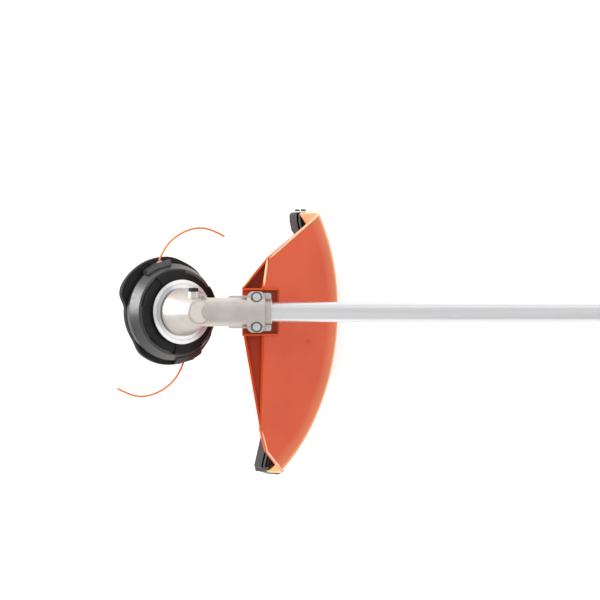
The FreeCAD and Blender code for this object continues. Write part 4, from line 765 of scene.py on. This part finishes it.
def wound_turns():
    """The line wound on the spool, layer over layer."""
    shape = bmesh.new()
    gap = 2 * LINE_RADIUS
    for layer in range(7):
        for turn in range(4):
            radius = 26.2 + layer * gap
            level = -56.6 + turn * (gap + 0.1) + (0.6 if layer % 2 else 0)
            add_ring(shape, head(0, 0, level), UP_HEAD, radius * MM, LINE_RADIUS * MM, 64, 8)
    wound = add_piece("wound_turns", finish_mesh("wound_turns", shape), "spool_and_knob", "line_nylon")
    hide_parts("wound_line")


# ---------------------------------------------------------------- guard details

BEAD = 1.25


def guard_beads():
    """The raised lip along parts of the guard's front edge and of one web, pale with a painted highlight.
    """
    tree = skin("guard")
    runs = [
        [(97.3, 66.9), (163.2, 126.2)],
        [(95.4, 66.5), (90.8, 31.5)],
        [(94.2, 68.2), (64.9, 31.2)],
        [(88.2, -149.4), (94.4, -175.4), (112.0, -198.9)],
    ]
    shape = bmesh.new()
    for corners in runs:
        path = drape(tree, corners, 2.0, 0.25)
        sweep(shape, path, [r * MM for r in tapered(len(path), BEAD)], 10)
    # The lip's pale finish is a painted highlight.
    add_piece("guard_edge_bead", finish_mesh("guard_edge_bead", shape), "frame", "guard_plastic",
              "lip_painted_highlight")


def guard_mark():
    """A small round ejector mark on the guard's sheet."""
    tree = skin("guard")
    point, normal = land(tree, shaft(147, -38, 80), -UP)
    shape = bmesh.new()
    add_ring(shape, point, normal, 3.0 * MM, 0.45 * MM, 36, 8)
    add_dome(shape, point - normal * 0.2 * MM, normal, 1.1 * MM, 0.6 * MM)
    add_piece("guard_mould_mark", finish_mesh("guard_mould_mark", shape), "frame", "guard_plastic")


# ---------------------------------------------------------------- handle and grip details

LOOP_ALONG = 900
# The least radius of the sleeve over the loop's bar, and its ribs' spacing.
BAR_COVER = 11.4
RIB_PITCH = 6


def handle_sleeve():
    """The ribbed foam sleeve round the top of the loop."""
    half = [(22, 104, 148), (28, 76, 176), (31, 38, 189)]
    corners = [shaft(LOOP_ALONG + x, y, z) for x, y, z in half]
    corners += [shaft(LOOP_ALONG + x, -y, z) for x, y, z in reversed(half)]
    path = rounded(corners)
    radii = []
    travelled = 0
    for i, point in enumerate(path):
        if i:
            travelled += (point - path[i - 1]).length
        rib = 0.5 + 0.5 * math.cos(2 * math.pi * travelled / (RIB_PITCH * MM))
        reach = min(i, len(path) - 1 - i)
        radii.append((BAR_COVER + (1.6 + 0.9 * rib) * min(1, reach / 4)) * MM)
    shape = bmesh.new()
    sweep(shape, path, radii, 24)
    add_piece("loop_sleeve", finish_mesh("loop_sleeve", shape), "front_handle", "grip_rubber")


def rounded(corners, step=1.0):
    """A fine path through straight runs joined by arcs, as the loop's bar has."""
    path = [corners[0]]
    for before, corner, after in zip(corners, corners[1:], corners[2:]):
        back = (before - corner).normalized()
        ahead = (after - corner).normalized()
        half_turn = (math.pi - back.angle(ahead)) / 2
        shorter = min((before - corner).length, (after - corner).length)
        reach = 0.45 * shorter
        radius = reach / math.tan(half_turn)
        centre = corner + (back + ahead).normalized() * (radius / math.cos(half_turn))
        start = corner + back * reach - centre
        end = corner + ahead * reach - centre
        parts = max(2, round(radius * 2 * half_turn / (step * MM)))
        arc = [centre + start.slerp(end, i / parts).normalized() * radius for i in range(parts + 1)]
        path += spaced(path[-1], arc[0], step)
        path += arc
    path += spaced(path[-1], corners[-1], step)
    path.append(corners[-1])
    return path


def spaced(start, end, step):
    """Points spaced along a straight run, without its ends."""
    parts = int((end - start).length / (step * MM))
    return [start.lerp(end, i / parts) for i in range(1, parts)] if parts > 1 else []


def grip_studs():
    """Rows of low studs over the grip's sides, where the palm and fingers hold it."""
    for sign, node in ((1, "grip_left"), (-1, "grip_right")):
        tree = skin(node)
        shape = bmesh.new()
        for row in range(9):
            for column in range(27):
                x = 1166 + column * 4.4 + (2.2 if row % 2 else 0)
                z = -15 + row * 3.6
                if math.hypot(x - 1246, z - 20) < 9 or math.hypot(x - 1278, z + 16) < 6:
                    continue
                point, normal = land(tree, shaft(x, sign * 60, z), Vector((0, -sign, 0)))
                if point is None or abs(normal.y) < 0.55:
                    continue
                add_dome(shape, point - normal * 0.15 * MM, normal, 1.25 * MM, 0.75 * MM, 8, 2)
        add_piece(f"{node}_studs", finish_mesh(f"{node}_studs", shape), "frame", "grip_rubber")


def lever_ribs():
    """Cross ribs on the trigger, the lockout lever and the battery latch."""
    sets = [
        ("trigger", "throttle", -UP, range(1176, 1222, 5), 5.6),
        ("lockout_lever", "throttle_lock", UP, range(1228, 1190, -5), 4.4),
        ("battery_latch", "latch", UP, range(1640, 1655, 3), 9),
    ]
    for node, body, outward, places, half in sets:
        tree = skin(node)
        shape = bmesh.new()
        for along in places:
            middle, _ = land(tree, shaft(along, 0, 0) + outward * 0.3, -outward)
            if middle is None:
                continue
            ends = [middle + ACROSS * side * half * MM for side in (-1, -0.9, 0.9, 1)]
            sweep(shape, ends, [0.3 * MM, 0.75 * MM, 0.75 * MM, 0.3 * MM], 8)
        add_piece(f"{node}_ribs", finish_mesh(f"{node}_ribs", shape), body, "control_plastic")


# ---------------------------------------------------------------- power unit details


def housing_seam():
    """The dark sealing bead where the two housing halves meet."""
    tree = skin("power_housing_left", "power_housing_right")
    shape = bmesh.new()
    for heading, level in ((-UP, 120), (UP, -230)):
        path = []
        x = 1393.5
        while x < 1647:
            for y in (0.3, -0.3):
                point, normal = land(tree, shaft(x, y, level), heading)
                if point is not None and abs(normal.z) > 0.25:
                    path.append(Vector((point.x, CROSSING.y, point.z)))
                    break
            x += 2
        runs = []
        for point in path:
            if runs and (point - runs[-1][-1]).length < 8 * MM:
                runs[-1].append(point)
            else:
                runs.append([point])
        for run in runs:
            if len(run) > 4:
                sweep(shape, run, [r * MM for r in tapered(len(run), 0.8)], 8)
    add_piece("housing_seal", finish_mesh("housing_seal", shape), "frame", "dark_plastic")


def side_pads():
    """Long bumper ribs on both flanks of the battery bay."""
    tree = skin("power_housing_left", "power_housing_right")
    for sign, side in ((1, "left"), (-1, "right")):
        shape = bmesh.new()
        for row in range(4):
            z = -146 + row * 9
            path = []
            for i in range(56):
                x = 1480 + i * 2.8
                point, normal = land(tree, shaft(x, sign * 90, z), Vector((0, -sign, 0)))
                if point is not None and abs(normal.y) > 0.9:
                    path.append(point)
            sweep(shape, path, [r * MM for r in tapered(len(path), 1.7)], 10)
        add_piece(f"bay_ribs_{side}", finish_mesh(f"bay_ribs_{side}", shape), "frame", "dark_plastic")


def battery_face():
    """The battery's status lamps, its test button and its side ribs."""
    tree = skin("battery_case")
    shape = bmesh.new()
    for number in range(4):
        point, normal = land(tree, shaft(1900, -12 + number * 8, -92), Vector((-1, 0, 0)))
        add_dome(shape, point - normal * 0.2 * MM, normal, 2.1 * MM, 1.0 * MM, 16, 3)
    add_piece("battery_lamps", finish_mesh("battery_lamps", shape), "battery", "control_plastic",
              "status_lamp")
    shape = bmesh.new()
    point, normal = land(tree, shaft(1900, 0, -106), Vector((-1, 0, 0)))
    add_dome(shape, point - normal * 0.2 * MM, normal, 4.5 * MM, 1.2 * MM, 28, 3)
    add_ring(shape, point, normal, 6 * MM, 0.6 * MM, 40, 8)
    for row in range(5):
        z = -146 + row * 4.5
        ends = []
        for y in (-28, -27, 27, 28):
            spot, _ = land(tree, shaft(1900, y, z), Vector((-1, 0, 0)))
            ends.append(spot)
        sweep(shape, ends, [0.4 * MM, 1.1 * MM, 1.1 * MM, 0.4 * MM], 8)
    add_piece("battery_button", finish_mesh("battery_button", shape), "battery", "dark_plastic")


def soften_edges():
    """Small rounded edges on the blocky mouldings, which catch the light."""
    for name, width in (("battery_case", 1.2), ("handle_clamp_upper", 1.0), ("handle_clamp_lower", 1.0),
                        ("battery_latch", 0.7), ("guard_bracket", 0.4)):
        weld = nodes[name].modifiers.new("weld", "WELD")
        weld.merge_threshold = 0.00001
        bevel = nodes[name].modifiers.new("bevel", "BEVEL")
        bevel.width = width * MM
        bevel.segments = 3
        bevel.limit_method = "ANGLE"
        bevel.angle_limit = math.radians(35)


# ---------------------------------------------------------------- stage and light


def make_floor():
    shape = bmesh.new()
    bmesh.ops.create_grid(shape, x_segments=8, y_segments=8, size=9)
    mesh = finish_mesh("floor", shape)
    floor = bpy.data.objects.new("floor", mesh)
    bpy.context.scene.collection.objects.link(floor)
    floor.location = (0, 0, -0.0005)
    made = Finish("floor", roughness=0.9, Specular_IOR_Level=0.1, Emission_Strength=0.45,
                  Emission_Color=(1, 1, 1, 1))
    made.paint(made.blend(made.between(made.noise(3), 0, 1), (0.86, 0.86, 0.86, 1), (0.88, 0.88, 0.88, 1)))
    mesh.materials.append(made.material)


def make_world():
    """An even white studio, a little brighter overhead."""
    world = bpy.data.worlds.new("studio")
    bpy.context.scene.world = world
    world.use_nodes = True
    tree = world.node_tree
    back = tree.nodes["Background"]
    coordinates = tree.nodes.new("ShaderNodeTexCoord")
    split = tree.nodes.new("ShaderNodeSeparateXYZ")
    ramp = tree.nodes.new("ShaderNodeValToRGB")
    tree.links.new(coordinates.outputs["Generated"], split.inputs[0])
    tree.links.new(split.outputs["Z"], ramp.inputs["Fac"])
    tree.links.new(ramp.outputs["Color"], back.inputs["Color"])
    stops = ((0.0, 0.84), (0.3, 0.84), (0.62, 0.86), (1.0, 0.88))
    while len(ramp.color_ramp.elements) < len(stops):
        ramp.color_ramp.elements.new(0.5)
    for element, (place, level) in zip(ramp.color_ramp.elements, stops):
        element.position = place
        element.color = (level, level, level, 1)
    back.inputs["Strength"].default_value = 0.95


def softbox(name, azimuth, elevation, width, height, power, distance=3.2):
    """A soft light that faces the working end from an azimuth and elevation in degrees."""
    turn, rise = math.radians(azimuth), math.radians(elevation)
    out = Vector((math.cos(turn) * math.cos(rise), math.sin(turn) * math.cos(rise), math.sin(rise)))
    data = bpy.data.lights.new(name, "AREA")
    data.shape = "RECTANGLE"
    data.size = width
    data.size_y = height
    data.energy = power
    light = bpy.data.objects.new(name, data)
    light.location = shaft(60, 0, 0) + out * distance
    light.rotation_mode = "QUATERNION"
    light.rotation_quaternion = out.to_track_quat("Z", "Y")
    light.visible_camera = False
    bpy.context.scene.collection.objects.link(light)


def make_lights():
    softbox("light_left", 158, 13, 2.4, 1.2, 96)
    softbox("light_right", 0, 26, 2.4, 0.8, 12)
    softbox("light_far_side", 80, 24, 2.0, 1.0, 3)


# ---------------------------------------------------------------- assembly

trimmer_line("trimmer_line_a", "line_upper", 1)
trimmer_line("trimmer_line_b", "line_lower", -1)
dress_cad()
lobed_cover()
line_bosses()
feed_spring()
wound_turns()
guard_beads()
guard_mark()
handle_sleeve()
grip_studs()
lever_ribs()
housing_seam()
side_pads()
battery_face()
soften_edges()
make_floor()
make_world()
make_lights()
bpy.context.scene.view_settings.view_transform = "Standard"
